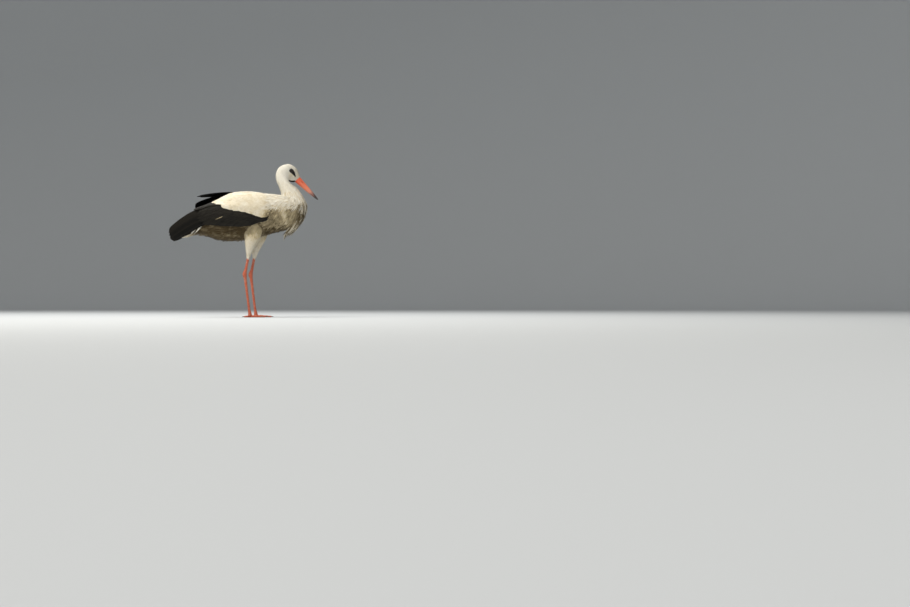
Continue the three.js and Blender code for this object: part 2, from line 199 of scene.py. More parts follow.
# Bare skin: lines in the XZ plane with a reach either side (X, Z, reach).
EYE_PATCH = [[255, 782, 12.0], [262, 774, 10.8], [269, 763, 7.4], [276, 750, 3.6]]
THROAT_LINE = [[230, 743, 2.0], [236, 735, 3.2], [246, 728, 4.0], [262, 725, 4.6], [274, 727, 4.4]]


# ---------------------------------------------------------------- shapes

def unit(vectors):
    """The vectors, each divided by its own length."""
    return vectors / np.maximum(np.linalg.norm(vectors, axis=-1, keepdims=True), 1e-12)


def circle(count):
    """Even angles all the way round."""
    return np.arange(count) / count * 2 * np.pi


def smooth(stations, share):
    """The uniform Catmull-Rom curve through the stations at shares 0 to 1 of its run.

    Between two stations it is the cubic that leaves each one along the line between that
    station's neighbours. A neighbour is added past each end by mirroring the last step.
    """
    rows = np.asarray(stations, float)
    rows = np.concatenate([[2 * rows[0] - rows[1]], rows, [2 * rows[-1] - rows[-2]]])
    run = np.clip(share, 0, 1) * (len(rows) - 3)
    first = np.minimum(run.astype(int), len(rows) - 4)
    u = (run - first).reshape(run.shape + (1,) * (rows.ndim - 1))
    a, b, c, d = (rows[first + k] for k in range(4))
    return b + 0.5 * u * (c - a + u * (2 * a - 5 * b + 4 * c - d + u * (3 * (b - c) + d - a)))


class Surface:
    """A shape as a grid of points: rows are even steps of s, columns even steps of a.

    Both go from 0 to 1. On a ring the columns go all the way round. Normals are the cross
    product of the steps across and along, and places between the grid's points are blended in
    straight lines, which also carry on past the ends.
    """

    def __init__(self, points, ring):
        self.points, self.ring = points, ring
        wide = np.concatenate([points[:, -1:], points, points[:, :1]], axis=1) if ring else points
        across = np.gradient(wide, axis=1)
        across = across[:, 1:-1] if ring else across
        along = np.gradient(points, axis=0)
        normal = np.cross(across, along)
        self.areas = np.linalg.norm(normal, axis=-1)
        self.normals = unit(normal)

    def shares(self):
        """The s and the a of each of the grid's points."""
        rows, columns = self.points.shape[:2]
        s = np.linspace(0, 1, rows)
        a = np.arange(columns) / (columns if self.ring else columns - 1)
        return np.meshgrid(s, a, indexing="ij")

    def at(self, s, a):
        """Points and normals at shares s and a."""
        rows, columns = self.points.shape[:2]
        i = s * (rows - 1)
        low = np.clip(i.astype(int), 0, rows - 2)
        di = (i - low)[..., None]
        if self.ring:
            j = np.mod(a, 1) * columns
            left = np.minimum(j.astype(int), columns - 1)
            right = (left + 1) % columns
        else:
            j = a * (columns - 1)
            left = np.clip(j.astype(int), 0, columns - 2)
            right = left + 1
        dj = (j - left)[..., None]

        def blend(grid):
            near = grid[low, left] * (1 - dj) + grid[low, right] * dj
            far = grid[low + 1, left] * (1 - dj) + grid[low + 1, right] * dj
            return near * (1 - di) + far * di

        return blend(self.points), unit(blend(self.normals))

    def rates(self, s, a):
        """How fast a point moves as s grows, and as a grows."""
        step = 0.003
        ahead, behind = self.at(s + step, a)[0], self.at(s - step, a)[0]
        over, under = self.at(s, a + step)[0], self.at(s, a - step)[0]
        return (ahead - behind) / (2 * step), (over - under) / (2 * step)


def body_surface(rows, columns):
    """The outer shape of head, neck and trunk.

    A section's point at the angle 2 pi a is level + (1 - level) cos, or level + level cos below
    the widest place, of the way up from its lower end to its upper one, and its half width
    times sin to the left.
    """
    station = smooth(BODY, rows)[:, None, :] * [MM, MM, MM, MM, MM, 1]
    up, out = np.cos(circle(columns)), np.sin(circle(columns))
    level = station[..., 5]
    height = level + np.where(up > 0, (1 - level) * up, level * up)
    x = station[..., 2] + (station[..., 0] - station[..., 2]) * height
    z = station[..., 3] + (station[..., 1] - station[..., 3]) * height
    return Surface(np.stack([x, station[..., 4] * out, z], axis=-1), True)


def wing_surface(rows, columns):
    """The outside of the folded left wing: at each X the smooth curve across its lines."""
    x = np.linspace(WING_FRONT, WING_REAR, rows)
    run = np.linspace(0, 1, 400)
    lines = []
    for line in WING_LINES:
        fine = smooth(line, run)[::-1]
        lines.append(np.stack([x, *(np.interp(x, fine[:, 0], fine[:, k]) for k in (1, 2))], -1))
    across = smooth(np.array(lines), np.linspace(0, 1, columns))
    return Surface(across.transpose(1, 0, 2) * MM, False)


def sheet_surface(stations, rows=80, columns=24):
    """A bulging sheet: across from one edge to the other in a straight line, plus the bulge
    times 1 - q squared, with q from 1 at the first edge to -1 at the second."""
    first, second, bulge = smooth(np.array(stations) * MM, np.linspace(0, 1, rows)).transpose(
        1, 0, 2
    )
    q = np.linspace(1, -1, columns)[None, :, None]
    grid = (first[:, None] * (1 + q) + second[:, None] * (1 - q)) / 2
    return Surface(grid + bulge[:, None] * (1 - q * q), False)


def ring_surface(centre, fore, side, rows=120, columns=40):
    """Ovals round a line, from the top down: the point at the angle 2 pi a is the centre plus
    fore times its cosine less side times its sine."""
    share = np.linspace(0, 1, rows)
    centre, fore, side = (smooth(v, share)[:, None, :] * MM for v in (centre, fore, side))
    angle = circle(columns)[None, :, None]
    return Surface(centre + fore * np.cos(angle) - side * np.sin(angle), True)


def limb_surface(stations, shift, rows=120, columns=40):
    """The left limb of level ovals, moved forward by shift."""
    nothing = np.zeros(len(stations))
    centre = stations[:, :3] + [shift, 0, 0]
    fore = np.stack([stations[:, 3], nothing, nothing], axis=1)
    side = np.stack([nothing, stations[:, 4], nothing], axis=1)
    return ring_surface(centre, fore, side, rows, columns)


def ring_mesh(points):
    """The quads between rings of points, and the points' numbers, ring by ring."""
    rows, columns = points.shape[:2]
    index = np.arange(rows * columns).reshape(rows, columns)
    right = np.roll(index, -1, axis=1)
    quads = np.stack([index[:-1], right[:-1], right[1:], index[1:]], axis=-1).reshape(-1, 4)
    return quads, index


def placed(name, data):
    """An object with this data in the scene."""
    thing = bpy.data.objects.new(name, data)
    bpy.context.scene.collection.objects.link(thing)
    return thing


def new_mesh(name, points, faces):
    """A mesh object from points and rows of faces, smooth shaded, facing out."""
    mesh = bpy.data.meshes.new(name)
    mesh.from_pydata(points.reshape(-1, 3).tolist(), [], [list(map(int, f)) for f in faces])
    mesh.polygons.foreach_set("use_smooth", np.ones(len(mesh.polygons), bool))
    mesh.update()
    return placed(name, mesh)


def closed_tube(name, points):
    """A closed object from rings of points, each end closed by a fan to its own middle."""
    rows, columns = points.shape[:2]
    quads, index = ring_mesh(points)
    middles = np.stack([points[0].mean(0), points[-1].mean(0)])
    first, last = rows * columns, rows * columns + 1
    start = [[first, b, a] for a, b in zip(index[0], np.roll(index[0], -1))]
    end = [[last, a, b] for a, b in zip(index[-1], np.roll(index[-1], -1))]
    everything = np.concatenate([points.reshape(-1, 3), middles])
    piece = new_mesh(name, everything, [*quads, *start, *end])
    face_out(piece)
    return piece


def face_out(piece):
    """Turns the faces of a closed mesh so that its volume is positive."""
    mesh = piece.data
    mesh.calc_loop_triangles()
    corners = np.zeros((len(mesh.loop_triangles), 3), np.int32)
    mesh.loop_triangles.foreach_get("vertices", corners.ravel())
    a, b, c = places_of(piece)[corners].transpose(1, 0, 2)
    if np.einsum("ij,ij->i", a, np.cross(b, c)).sum() < 0:
        mesh.flip_normals()


def near_line(points, line):
    """How far inside a line's reach each point is, in the XZ plane: 1 on the line, 0 at its
    reach and below 0 past it, with the reach blended along each length of the line."""
    line = np.array(line, float) * MM
    xz = points[..., [0, 2]]
    best = np.full(points.shape[:-1], -1e9)
    for start, end in zip(line[:-1], line[1:]):
        step = end[:2] - start[:2]
        share = np.clip(((xz - start[:2]) @ step) / (step @ step), 0, 1)
        place = start[:2] + share[..., None] * step
        reach = start[2] + share * (end[2] - start[2])
        best = np.maximum(best, 1 - np.linalg.norm(xz - place, axis=-1) / reach)
    return best


# ---------------------------------------------------------------- feathers

class Vane:
    """One feather's plan: rings at shares u along it, each with places v across.

    A ring runs over the upper face from one edge to the other and back below, so the vane is
    a thin closed lens. Its half width grows as a quarter sine wave up to the widest place,
    then falls as (1 - r ** blunt) ** (1 / blunt), or the square root of that where blunt is
    above 2, with r the share of the rest. lead narrows the half that v below 0 stands for,
    and sweep carries the edges forward by that share of the width. A flat one has no lower
    face of its own, only the one plane from edge to edge.
    """

    def __init__(self, rings=5, across=2, widest=0.5, blunt=1.5, lead=1.0, sweep=0.3, stem=0.3,
                 flat=False):
        crowding = 1.25  # the rings stand closer together towards the tip
        self.u = 1 - (1 - np.linspace(0, 1, rings + 1)[:-1]) ** crowding
        top = np.linspace(-1, 1, across + 1)
        below = [] if flat else top[-2:0:-1]
        self.v = np.concatenate([top, below])
        self.over = np.concatenate([np.ones(across + 1), -np.ones(len(below))])
        self.over[[0, across]] = 0
        rise = stem + (1 - stem) * np.sin(np.pi / 2 * np.clip(self.u / widest, 0, 1))
        rest = np.clip((self.u - widest) / (1 - widest), 0, 1)
        self.width = rise * (1 - rest**blunt) ** (1 / min(blunt, 2.0))
        self.lead, self.sweep = lead, sweep
        ring = len(self.v)
        self.size = rings * ring + 1
        index = np.arange(rings * ring).reshape(rings, ring)
        right = np.roll(index, -1, axis=1)
        quads = np.stack([index[:-1], index[1:], right[1:], right[:-1]], -1).reshape(-1, 4)
        tips = np.stack([index[-1], np.full(ring, rings * ring), right[-1]], axis=-1)
        self.faces = [*quads.tolist(), *tips.tolist(), index[0].tolist()]
        self.rim = np.zeros(self.size, bool)
        self.rim[index[:, [0, across]].ravel()] = True
        self.rim[-1] = True


def axes(surface, s, a):
    """The surface's normal, the way in which s grows along it, and the way across that."""
    along, _ = surface.rates(s, a)
    normal = surface.at(s, a)[1]
    ahead = unit(along - normal * np.sum(along * normal, -1, keepdims=True))
    return normal, ahead, np.cross(normal, ahead)


def carry(surface, s, a, turn):
    """What a metre along the feather's way and a metre to its side add to s and a.

    The way is turned from the one in which s grows, and both are solved for in the surface's
    own two rates.
    """
    along, around = surface.rates(s, a)
    normal, ahead, aside = axes(surface, s, a)
    way = ahead * np.cos(turn)[..., None] + aside * np.sin(turn)[..., None]
    side = np.cross(normal, way)
    ee, ff, gg = (np.sum(p * q, -1) for p, q in
                  ((along, along), (along, around), (around, around)))
    spread = np.maximum(ee * gg - ff * ff, 1e-12)
    steps = []
    for direction in (way, side):
        p, q = np.sum(along * direction, -1), np.sum(around * direction, -1)
        steps.append(((gg * p - ff * q) / spread, (ee * q - ff * p) / spread))
    return steps


def lay(surface, s, a, plan, length, half, rng, turn=0.0, sink=5.0, rise=1.0, camber=0.15,
        thick=0.4, ragged=0.12, bend=0.0, curl=0.0, twist=0.0, fringe=0.05):
    """Feathers that lie along a surface, as points (feather, place on it, XYZ).

    Each starts at its root (s, a) and its spine runs on over the surface at the angle turn +
    bend times u from the way s grows, with u the share of its length. A point at v across
    stands off the surface by -sink at the root and rise at the tip, going up as
    1 - (1 - u) ** 1.6, plus camber times the half width times 1 - v squared, plus curl times
    u cubed, plus twist times v. Its two faces are thick apart in the middle. Edges are uneven
    by ragged, and past u = 0.6 the barbs' ends by fringe, as shares of the width and length.
    Lengths are in millimetres, one for all feathers or one for each.
    """
    count = len(s)
    length, half, sink, rise, thick, curl, turn, camber, bend, twist = (
        np.broadcast_to(np.asarray(value, float), (count,))[:, None]
        for value in (length, half, sink, rise, thick, curl, turn, camber, bend, twist))
    length, half, sink, rise, thick, curl = (
        value * MM for value in (length, half, sink, rise, thick, curl))
    at_s, at_a, before = s[:, None], a[:, None], 0.0
    (s_way, a_way), _ = carry(surface, at_s, at_a, turn)
    points, local = [], []
    for u, width in zip(np.append(plan.u, 1.0), np.append(plan.width, 0.0)):
        at_s = at_s + s_way * (u - before) * length
        at_a = at_a + a_way * (u - before) * length
        before = u
        (s_way, a_way), (s_side, a_side) = carry(surface, at_s, at_a, turn + bend * u)
        v = plan.v[None, :] if width else np.zeros((1, 1))
        over = plan.over if width else np.zeros(1)
        v = v * (1 + ragged * rng.uniform(-1, 1, (count, v.shape[1])))
        off = v * half * width * np.where(v < 0, plan.lead, 1)
        ahead = plan.sweep * np.abs(v) * half * width
        if u > 0.6:
            ahead = ahead + length * fringe * rng.uniform(-1, 1, (count, v.shape[1]))
        place, up = surface.at(at_s + ahead * s_way + off * s_side,
                               at_a + ahead * a_way + off * a_side)
        height = -sink + (sink + rise) * (1 - (1 - u) ** 1.6) + curl * u**3
        round_off = np.clip(1 - v * v, 0, 1)
        height = height + camber * half * width * round_off + twist * off
        height = height + over * thick / 2 * np.sqrt(round_off)
        points.append(place + up * height[..., None])
        local.append(np.stack([u * length + ahead, off], axis=-1))
    return np.concatenate(points, axis=1), np.concatenate(local, axis=1)


def fall(surface, s, a):
    """The turn that points a feather straight down, and how steep the surface is there."""
    _, ahead, aside = axes(surface, s, a)
    return np.arctan2(-aside[..., 2], -ahead[..., 2]), np.hypot(aside[..., 2], ahead[..., 2])


def turn_for(surface, s, a, length, end):
    """The turn with which each feather's tip lies at the share end across a wing, by halving
    the span between two turns where the tip's share passes it."""
    most_down, most_up = np.full(len(s), -0.8), np.full(len(s), 0.2)
    steps, halvings = 6, 9
    for _ in range(halvings):
        turn = (most_down + most_up) / 2
        at_s, at_a = s, a
        for _ in range(steps):
            (s_way, a_way), _ = carry(surface, at_s, at_a, turn)
            at_s = at_s + s_way * length * MM / steps
            at_a = at_a + a_way * length * MM / steps
        past = at_a > end
        most_down, most_up = np.where(past, turn, most_down), np.where(past, most_up, turn)
    return turn


def run_to(surface, s, a, end):
    """The length in millimetres along the surface from each share s to the share end, at a."""
    share = s + (end - s) * np.linspace(0, 1, 40)[:, None]
    places = surface.at(share, np.broadcast_to(a, share.shape))[0]
    return np.linalg.norm(np.diff(places, axis=0), axis=-1).sum(0) / MM


def spread_roots(surface, grows, spacing, rng):
    """Roots at even but unordered places, and their count. They stand at those of the grid's
    points where grows is true, and each has an area of spacing square millimetres to itself.

    The two numbers of each step of the R2 sequence pick a row by the rows' running total of
    area over spacing, then a place in that row by the row's own running total.
    """
    cells = surface.areas / (np.where(grows, spacing, np.inf) * MM * MM)
    cells[[0, -1]] /= 2
    count = int(cells.sum())
    plastic = 1.32471795724
    steps = np.arange(1, count + 1)
    first, second = (np.mod(rng.uniform() + steps / plastic**k, 1) for k in (1, 2))
    rows = cells.sum(1)
    total = np.concatenate([[0], np.cumsum(rows)])
    row = np.clip(np.searchsorted(total, first * total[-1]) - 1, 0, len(rows) - 1)
    flat = np.concatenate([[0], np.cumsum(cells.ravel())])
    at = np.searchsorted(flat, total[row] + second * rows[row]) - 1
    column = np.clip(at - row * cells.shape[1], 0, cells.shape[1] - 1)
    n_rows, n_columns = cells.shape
    s = (row + rng.uniform(-0.5, 0.5, count)) / (n_rows - 1)
    a = (column + rng.uniform(-0.5, 0.5, count)) / (n_columns if surface.ring else n_columns - 1)
    return np.clip(s, 0, 1), a, count


def row_roots(s_run, a_run, rng, jitter=0.15):
    """Roots in rows: s_run and a_run are (first, last, count), and every other row is set
    half a place back."""
    s_step = (s_run[1] - s_run[0]) / max(s_run[2] - 1, 1)
    a_step = (a_run[1] - a_run[0]) / max(a_run[2] - 1, 1)
    i, j = np.meshgrid(np.arange(s_run[2]), np.arange(a_run[2]), indexing="ij")
    i, j = i.ravel(), j.ravel()
    s = s_run[0] + (i + 0.5 * (j % 2) + rng.uniform(-jitter, jitter, len(i))) * s_step
    a = a_run[0] + (j + rng.uniform(-jitter, jitter, len(i))) * a_step
    return s, a


PATCH = 0.003  # the side of a feather's patch on the baked map


def patches(s, a, low=0.0, high=1.0):
    """The corner of each feather's patch: its root on the skin's unwrap, a against s."""
    return np.stack([np.mod(a, 1), np.clip((s - low) / (high - low), 0, 1)], -1) * (1 - PATCH)


def feather_piece(name, laid, plan, corner, tones, side=LEFT):
    """One object of many feathers. corner gives their patches, and tones has the attributes'
    values, one for each feather."""
    points, local = laid
    count = len(points)
    places = points.reshape(-1, 3) * [1, side, 1]
    faces = plan.faces if side == LEFT else [face[::-1] for face in plan.faces]
    sizes = np.array([len(face) for face in faces])
    corners = np.array([place for face in faces for place in face])
    loops = (corners + np.arange(count)[:, None] * plan.size).ravel().astype(np.int32)
    totals = np.tile(sizes, count)
    starts = np.concatenate([[0], np.cumsum(totals)[:-1]]).astype(np.int32)
    mesh = bpy.data.meshes.new(name)
    mesh.vertices.add(len(places))
    mesh.vertices.foreach_set("co", places.ravel())
    mesh.loops.add(len(loops))
    mesh.loops.foreach_set("vertex_index", loops)
    mesh.polygons.add(len(totals))
    mesh.polygons.foreach_set("loop_start", starts)
    mesh.polygons.foreach_set("use_smooth", np.ones(len(totals), bool))
    mesh.update(calc_edges=True)

    vane_map = mesh.uv_layers.new(name="Vane")
    centred = local.reshape(-1, 2)[loops] * 10
    vane_map.uv.foreach_set("vector", centred.ravel().astype(np.float32))
    low = local.min(1, keepdims=True)
    span = np.maximum(np.ptp(local, axis=1).max(-1), 1e-9)[:, None, None]
    baked = (corner[:, None, :] + (local - low) / span * PATCH).reshape(-1, 2)[loops]
    bake_map = mesh.uv_layers.new(name="OFBake")
    bake_map.uv.foreach_set("vector", baked.ravel().astype(np.float32))

    for key, values in tones.items():
        layer = mesh.attributes.new(key, "FLOAT", "POINT")
        layer.data.foreach_set("value", np.repeat(values, plan.size).astype(np.float32))
    ends = np.zeros((len(mesh.edges), 2), np.int32)
    mesh.edges.foreach_get("vertices", ends.ravel())
    rim = np.tile(plan.rim, count)[ends].all(1)
    sharp = mesh.attributes.new("sharp_edge", "BOOLEAN", "EDGE")
    sharp.data.foreach_set("value", rim)
    return placed(name, mesh)


def attach(piece, slot, finish, *nodes):
    """The piece rides on the one body, has its finish and stands for its solids."""
    piece.data.materials.clear()
    piece.data.materials.append(finish)
    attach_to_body(piece, "root")
    if nodes:
        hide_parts(*nodes)
    return piece


def set_attribute(piece, name, values):
    """A value for each vertex, for the finishes to read."""
    layer = piece.data.attributes.new(name, "FLOAT", "POINT")
    layer.data.foreach_set("value", np.asarray(values).astype(np.float32))


def places_of(piece):
    """The piece's vertices as rows of X, Y, Z."""
    places = np.zeros((len(piece.data.vertices), 3))
    piece.data.vertices.foreach_get("co", places.ravel())
    return places


def blend_in(value, start, end):
    """0 before start and 1 after end, with a smooth rise between."""
    share = np.clip((value - start) / (end - start), 0, 1)
    return share * share * (3 - 2 * share)


def stain_and_shade_at(points):
    """How dirty the white plumage is, with painted shade in the same mark: dirt and painted shade
    on the belly and the undertail most, then on the breast below a line that rises to the front,
    but for a clean streak down its middle, and more painted shade on the breast's front. The head
    is cleaner than the rest but for the face."""
    x, _, z = (points / MM).T
    # The belly: real dirt and painted shade together, reaching higher towards the tail.
    up = 42 * blend_in(-x, -110, -50)
    belly = 1 - blend_in(z, 470 + up, 535 + 0.5 * up)
    # The breast below a line that rises to the front: dirt and painted shade, lighter down a
    # streak.
    line = np.interp(x, [60, 119, 156, 235, 287, 313, 330], [530, 560, 585, 594, 605, 625, 640])
    streak = np.exp(-(((x - 212 - 0.37 * (572 - z)) / 13) ** 2))
    breast = 0.74 * blend_in(line - z, -12, 22) * blend_in(x, 40, 120) * (1 - 0.6 * streak)
    # Painted shade on the breast's front.
    breast = breast + 0.25 * blend_in(x, 275, 310) * (1 - blend_in(z, 575, 625))
    # Under the tail: dirt and painted shade.
    under_tail = 0.95 * blend_in(-x, 150, 215) * (1 - blend_in(z, 500, 540))
    face = 0.33 * blend_in(x, 222, 250) * (1 - blend_in(z, 765, 795)) * blend_in(z, 735, 745)
    clean = 0.1 * blend_in(z, 680, 740)
    return np.clip(np.max([belly, breast, under_tail, face], axis=0) - clean, -0.1, 1)


# ---------------------------------------------------------------- finishes

class Finish:
    """A procedural material. Each call adds one node and gives back what it puts out."""

    def __init__(self, name, **sockets):
        self.material = bpy.data.materials.new(name)
        self.material.use_nodes = True
        self.tree = self.material.node_tree
        self.shader = self.tree.nodes["Principled BSDF"]
        for socket, value in sockets.items():
            self.shader.inputs[socket.replace("_", " ")].default_value = value

    def node(self, kind, output=0, settings=None, **inputs):
        node = self.tree.nodes.new(kind)
        for key, value in (settings or {}).items():
            setattr(node, key, value)
        for key, value in inputs.items():
            self.put(node.inputs[int(key[1:]) if key[1:].isdigit() else key], value)
        return node.outputs[output]

    def put(self, socket, value):
        if isinstance(value, bpy.types.NodeSocket):
            self.tree.links.new(value, socket)
        else:
            socket.default_value = value

    def attribute(self, name):
        return self.node("ShaderNodeAttribute", 2, {"attribute_name": name})

    def place(self):
        return self.node("ShaderNodeTexCoord", 3)

    def stretched(self, vector, scale):
        return self.node("ShaderNodeMapping", i0=vector, i3=scale)

    def noise(self, vector, scale, detail=3.0):
        return self.node("ShaderNodeTexNoise", Vector=vector, Scale=scale, Detail=detail)

    def cells(self, vector, scale, output=0, feature="F1"):
        return self.node("ShaderNodeTexVoronoi", output, {"feature": feature}, Vector=vector,
                         Scale=scale)

    def sum(self, operation, first, second=0.0):
        return self.node("ShaderNodeMath", 0, {"operation": operation}, i0=first, i1=second)

    def span(self, value, low, high, to_low=0.0, to_high=1.0):
        return self.node("ShaderNodeMapRange", i0=value, i1=low, i2=high, i3=to_low, i4=to_high)

    def times(self, first, second):
        return self.sum("MULTIPLY", first, second)

    def layers(self, along, base, *layers):
        """The base, and over it a colour for each stretch of along that it comes in over."""
        for low, high, colour in layers:
            base = self.mix(self.span(along, low, high), base, colour)
        return base

    def mix(self, share, first, second, blend="MIX"):
        first, second = ((*value, 1) if isinstance(value, tuple) else value
                         for value in (first, second))
        return self.node("ShaderNodeMix", 2, {"data_type": "RGBA", "blend_type": blend},
                         i0=share, i6=first, i7=second)

    def colour(self, value):
        self.put(self.shader.inputs["Base Color"], value)

    def parts(self, vector):
        node = self.tree.nodes.new("ShaderNodeSeparateXYZ")
        self.put(node.inputs[0], vector)
        return node.outputs

    def bump(self, height, distance, strength=1.0):
        self.put(self.shader.inputs["Normal"], self.node(
            "ShaderNodeBump", Height=height, Distance=distance, Strength=strength))


def barbs(finish):
    """Fine ridges that leave the shaft at an angle, and how near the shaft a place is."""
    run, off, _ = finish.parts(finish.node("ShaderNodeUVMap", 0, {"uv_map": "Vane"}))
    aside = finish.sum("ABSOLUTE", off)
    slant, waves = 1.1, 1100.0
    lines = finish.sum("SUBTRACT", run, finish.times(aside, slant))
    rough = finish.noise(finish.place(), 260.0, 2.0)
    wobble = finish.times(rough, 0.02)
    ridge = finish.sum("SINE", finish.times(finish.sum("ADD", lines, wobble), waves))
    return ridge, aside


def white_feather_finish():
    """Chalky white, yellowed and browned where it is dirty and where shade is painted on, each
    feather a shade apart.
    """
    finish = Finish("white_feather", Roughness=0.72, Specular_IOR_Level=0.25,
                    Sheen_Weight=0.12, Sheen_Roughness=0.4)
    ridge, _ = barbs(finish)
    clean = finish.mix(finish.attribute("tone"), (0.76, 0.715, 0.61), (0.90, 0.875, 0.795))
    cloudy = finish.noise(finish.place(), 34.0, 4.0)
    # How dirty the feather is painted, with painted shade in the same value, broken up by noise.
    stain_and_shade_level = finish.sum("ADD", finish.attribute("stain_and_shade"),
                        finish.span(cloudy, 0.3, 0.7, -0.1, 0.12))
    cream = finish.mix(finish.attribute("tone"), (0.56, 0.46, 0.275), (0.71, 0.60, 0.39))
    brown = finish.mix(finish.attribute("tone"), (0.052, 0.034, 0.012), (0.104, 0.071, 0.030))
    base = finish.layers(stain_and_shade_level, clean, (0.0, 0.45, cream), (0.45, 1.0, brown))
    shade = finish.span(ridge, -1.0, 1.0, 0.965, 1.0)
    base = finish.mix(1.0, base, finish.node("ShaderNodeCombineColor", i0=shade, i1=shade,
                                             i2=shade), "MULTIPLY")
    finish.colour(base)
    finish.bump(ridge, 0.00005, 0.5)
    return finish.material


def black_feather_finish():
    """Brownish black with a dull gloss, greyer along the webs that have bloom."""
    finish = Finish("black_feather", Roughness=0.5, Specular_IOR_Level=0.12)
    ridge, aside = barbs(finish)
    dark = finish.mix(finish.attribute("tone"), (0.001, 0.001, 0.001),
                      (0.012, 0.0102, 0.0074))
    bloom = finish.times(finish.attribute("bloom"), finish.noise(finish.place(), 60.0))
    base = finish.mix(bloom, dark, (0.030, 0.027, 0.020))
    shaft = finish.span(aside, 0.003, 0.008, 1.0, 0.0)
    finish.colour(finish.mix(shaft, base, (0.03, 0.026, 0.022)))
    gloss = finish.span(ridge, -1.0, 1.0, 0.56, 0.42)
    finish.put(finish.shader.inputs["Roughness"], gloss)
    finish.bump(finish.sum("ADD", ridge, finish.times(shaft, 3.0)), 0.00012, 0.7)
    return finish.material


def skin_finish():
    """Down-white and down-black under the coat, black bare skin and red scaly legs."""
    finish = Finish("skin", Roughness=0.55, Specular_IOR_Level=0.25)
    place = finish.place()
    # The down browns where the coat's dirt and painted shade lie.
    down = finish.mix(finish.attribute("stain_and_shade"), (0.78, 0.74, 0.67), (0.36, 0.28, 0.18))
    down = finish.mix(finish.attribute("dark"), down, (0.016, 0.015, 0.014))
    cloud = finish.noise(place, 90.0, 4.0)
    red = finish.mix(cloud, (0.36, 0.06, 0.03), (0.50, 0.11, 0.055))
    scales = finish.cells(place, 520.0, 0, "DISTANCE_TO_EDGE")
    furrow = finish.span(scales, 0.0, 0.10, 1.0, 0.0)
    red = finish.mix(finish.times(furrow, 0.35), red, (0.22, 0.05, 0.035))
    base = finish.mix(finish.attribute("leg"), down, red)
    bare = finish.mix(finish.noise(place, 500.0), (0.005, 0.0045, 0.005), (0.016, 0.014, 0.013))
    base = finish.mix(finish.attribute("bare"), base, bare)
    finish.colour(base)
    wrinkle = finish.times(finish.cells(place, 700.0), finish.attribute("bare"))
    flaky = finish.times(finish.sum("SUBTRACT", 1.0, furrow), finish.attribute("leg"))
    finish.bump(finish.sum("ADD", wrinkle, flaky), 0.0004, 0.8)
    return finish.material


def scale_finish():
    """Horny red plates, each a shade apart, dusted pale in patches."""
    finish = Finish("leg_scale", Roughness=0.5)
    cloud = finish.noise(finish.place(), 70.0, 4.0)
    red = finish.mix(finish.attribute("tone"), (0.46, 0.085, 0.04), (0.60, 0.15, 0.075))
    dust = finish.span(cloud, 0.52, 0.75, 0.0, 0.45)
    finish.colour(finish.mix(dust, red, (0.72, 0.5, 0.4)))
    finish.bump(finish.noise(finish.place(), 900.0), 0.0002, 0.5)
    return finish.material


def bill_finish():
    """Red horn, paler half way along and dusky at the tip, with fine lengthwise scratches and a
    dark line of painted shade along the upper half's ridge.
    """
    finish = Finish("bill_horn", Roughness=0.38, Coat_Weight=0.15, Coat_Roughness=0.3)
    run = finish.attribute("run")
    place = finish.place()
    turned = finish.node("ShaderNodeMapping", i0=place, i2=(0.0, -BILL_DROP, 0.0))
    streaks = finish.noise(finish.stretched(turned, (18.0, 260.0, 260.0)), 1.0, 4.0)
    cloud = finish.noise(place, 45.0, 4.0)
    at = finish.sum("ADD", run, finish.span(cloud, 0.3, 0.7, -0.05, 0.05))
    base = finish.layers(at, (0.72, 0.10, 0.04), (0.0, 0.45, (0.80, 0.24, 0.13)),
                         (0.42, 0.64, (0.58, 0.26, 0.20)), (0.58, 0.82, (0.035, 0.03, 0.032)))
    # Painted shade: a dark line along the upper half's ridge, stronger towards the tip.
    culmen_shade = finish.times(finish.attribute("culmen_shade"), finish.span(at, 0.2, 0.7, 0.5, 0.9))
    base = finish.mix(culmen_shade, base, (0.10, 0.028, 0.018))
    base = finish.mix(finish.span(streaks, 0.55, 0.8, 0.0, 0.35), base, (0.66, 0.30, 0.2))
    base = finish.mix(finish.attribute("slit"), base, (0.03, 0.01, 0.008))
    finish.colour(base)
    finish.put(finish.shader.inputs["Roughness"], finish.span(streaks, 0.3, 0.7, 0.32, 0.5))
    finish.bump(streaks, 0.0003, 0.5)
    return finish.material


def eye_finish():
    """A wet, nearly black eye: dark brown iris with fine rays round a black pupil."""
    finish = Finish("eye", Roughness=0.12, Specular_IOR_Level=0.1, Coat_Weight=0.6,
                    Coat_Roughness=0.02)
    off = finish.attribute("off_axis")
    rays = finish.noise(finish.place(), 1800.0, 3.0)
    iris = finish.mix(rays, (0.010, 0.006, 0.004), (0.035, 0.018, 0.010))
    finish.colour(finish.layers(off, (0.002, 0.002, 0.002), (0.26, 0.30, iris),
                                (0.60, 0.70, (0.006, 0.005, 0.005))))
    return finish.material


def claw_finish():
    """Dark horn with growth lines, worn paler at the end."""
    finish = Finish("claw_horn", Roughness=0.4)
    lines = finish.noise(finish.stretched(finish.place(), (900.0, 900.0, 200.0)), 1.0)
    finish.colour(finish.mix(lines, (0.03, 0.022, 0.018), (0.10, 0.07, 0.05)))
    finish.bump(lines, 0.0002, 0.5)
    return finish.material


# ---------------------------------------------------------------- camera and stage

def look_along(thing, target):
    """Turns a camera or lamp at its place to look at a point."""
    way = target - np.array(thing.location)
    thing.rotation_euler = (
        math.atan2(math.hypot(way[0], way[1]), -way[2]), 0, math.atan2(-way[0], way[1]))


def make_camera():
    """A level camera just above the floor, abeam of the bird and turned so that it stands to
    the left of the picture's middle. One pixel is 5.4 mm at the bird."""
    away, height, turn, focal = 8.083, 0.0731, math.radians(8.02), 1500
    picture_width, sensor = 910, 36
    data = bpy.data.cameras.new("camera")
    data.lens = focal / picture_width * sensor
    data.sensor_width = sensor
    camera = placed("camera", data)
    camera.location = (0, -away, height)
    camera.rotation_euler = (math.pi / 2, 0, -turn)
    bpy.context.scene.camera = camera


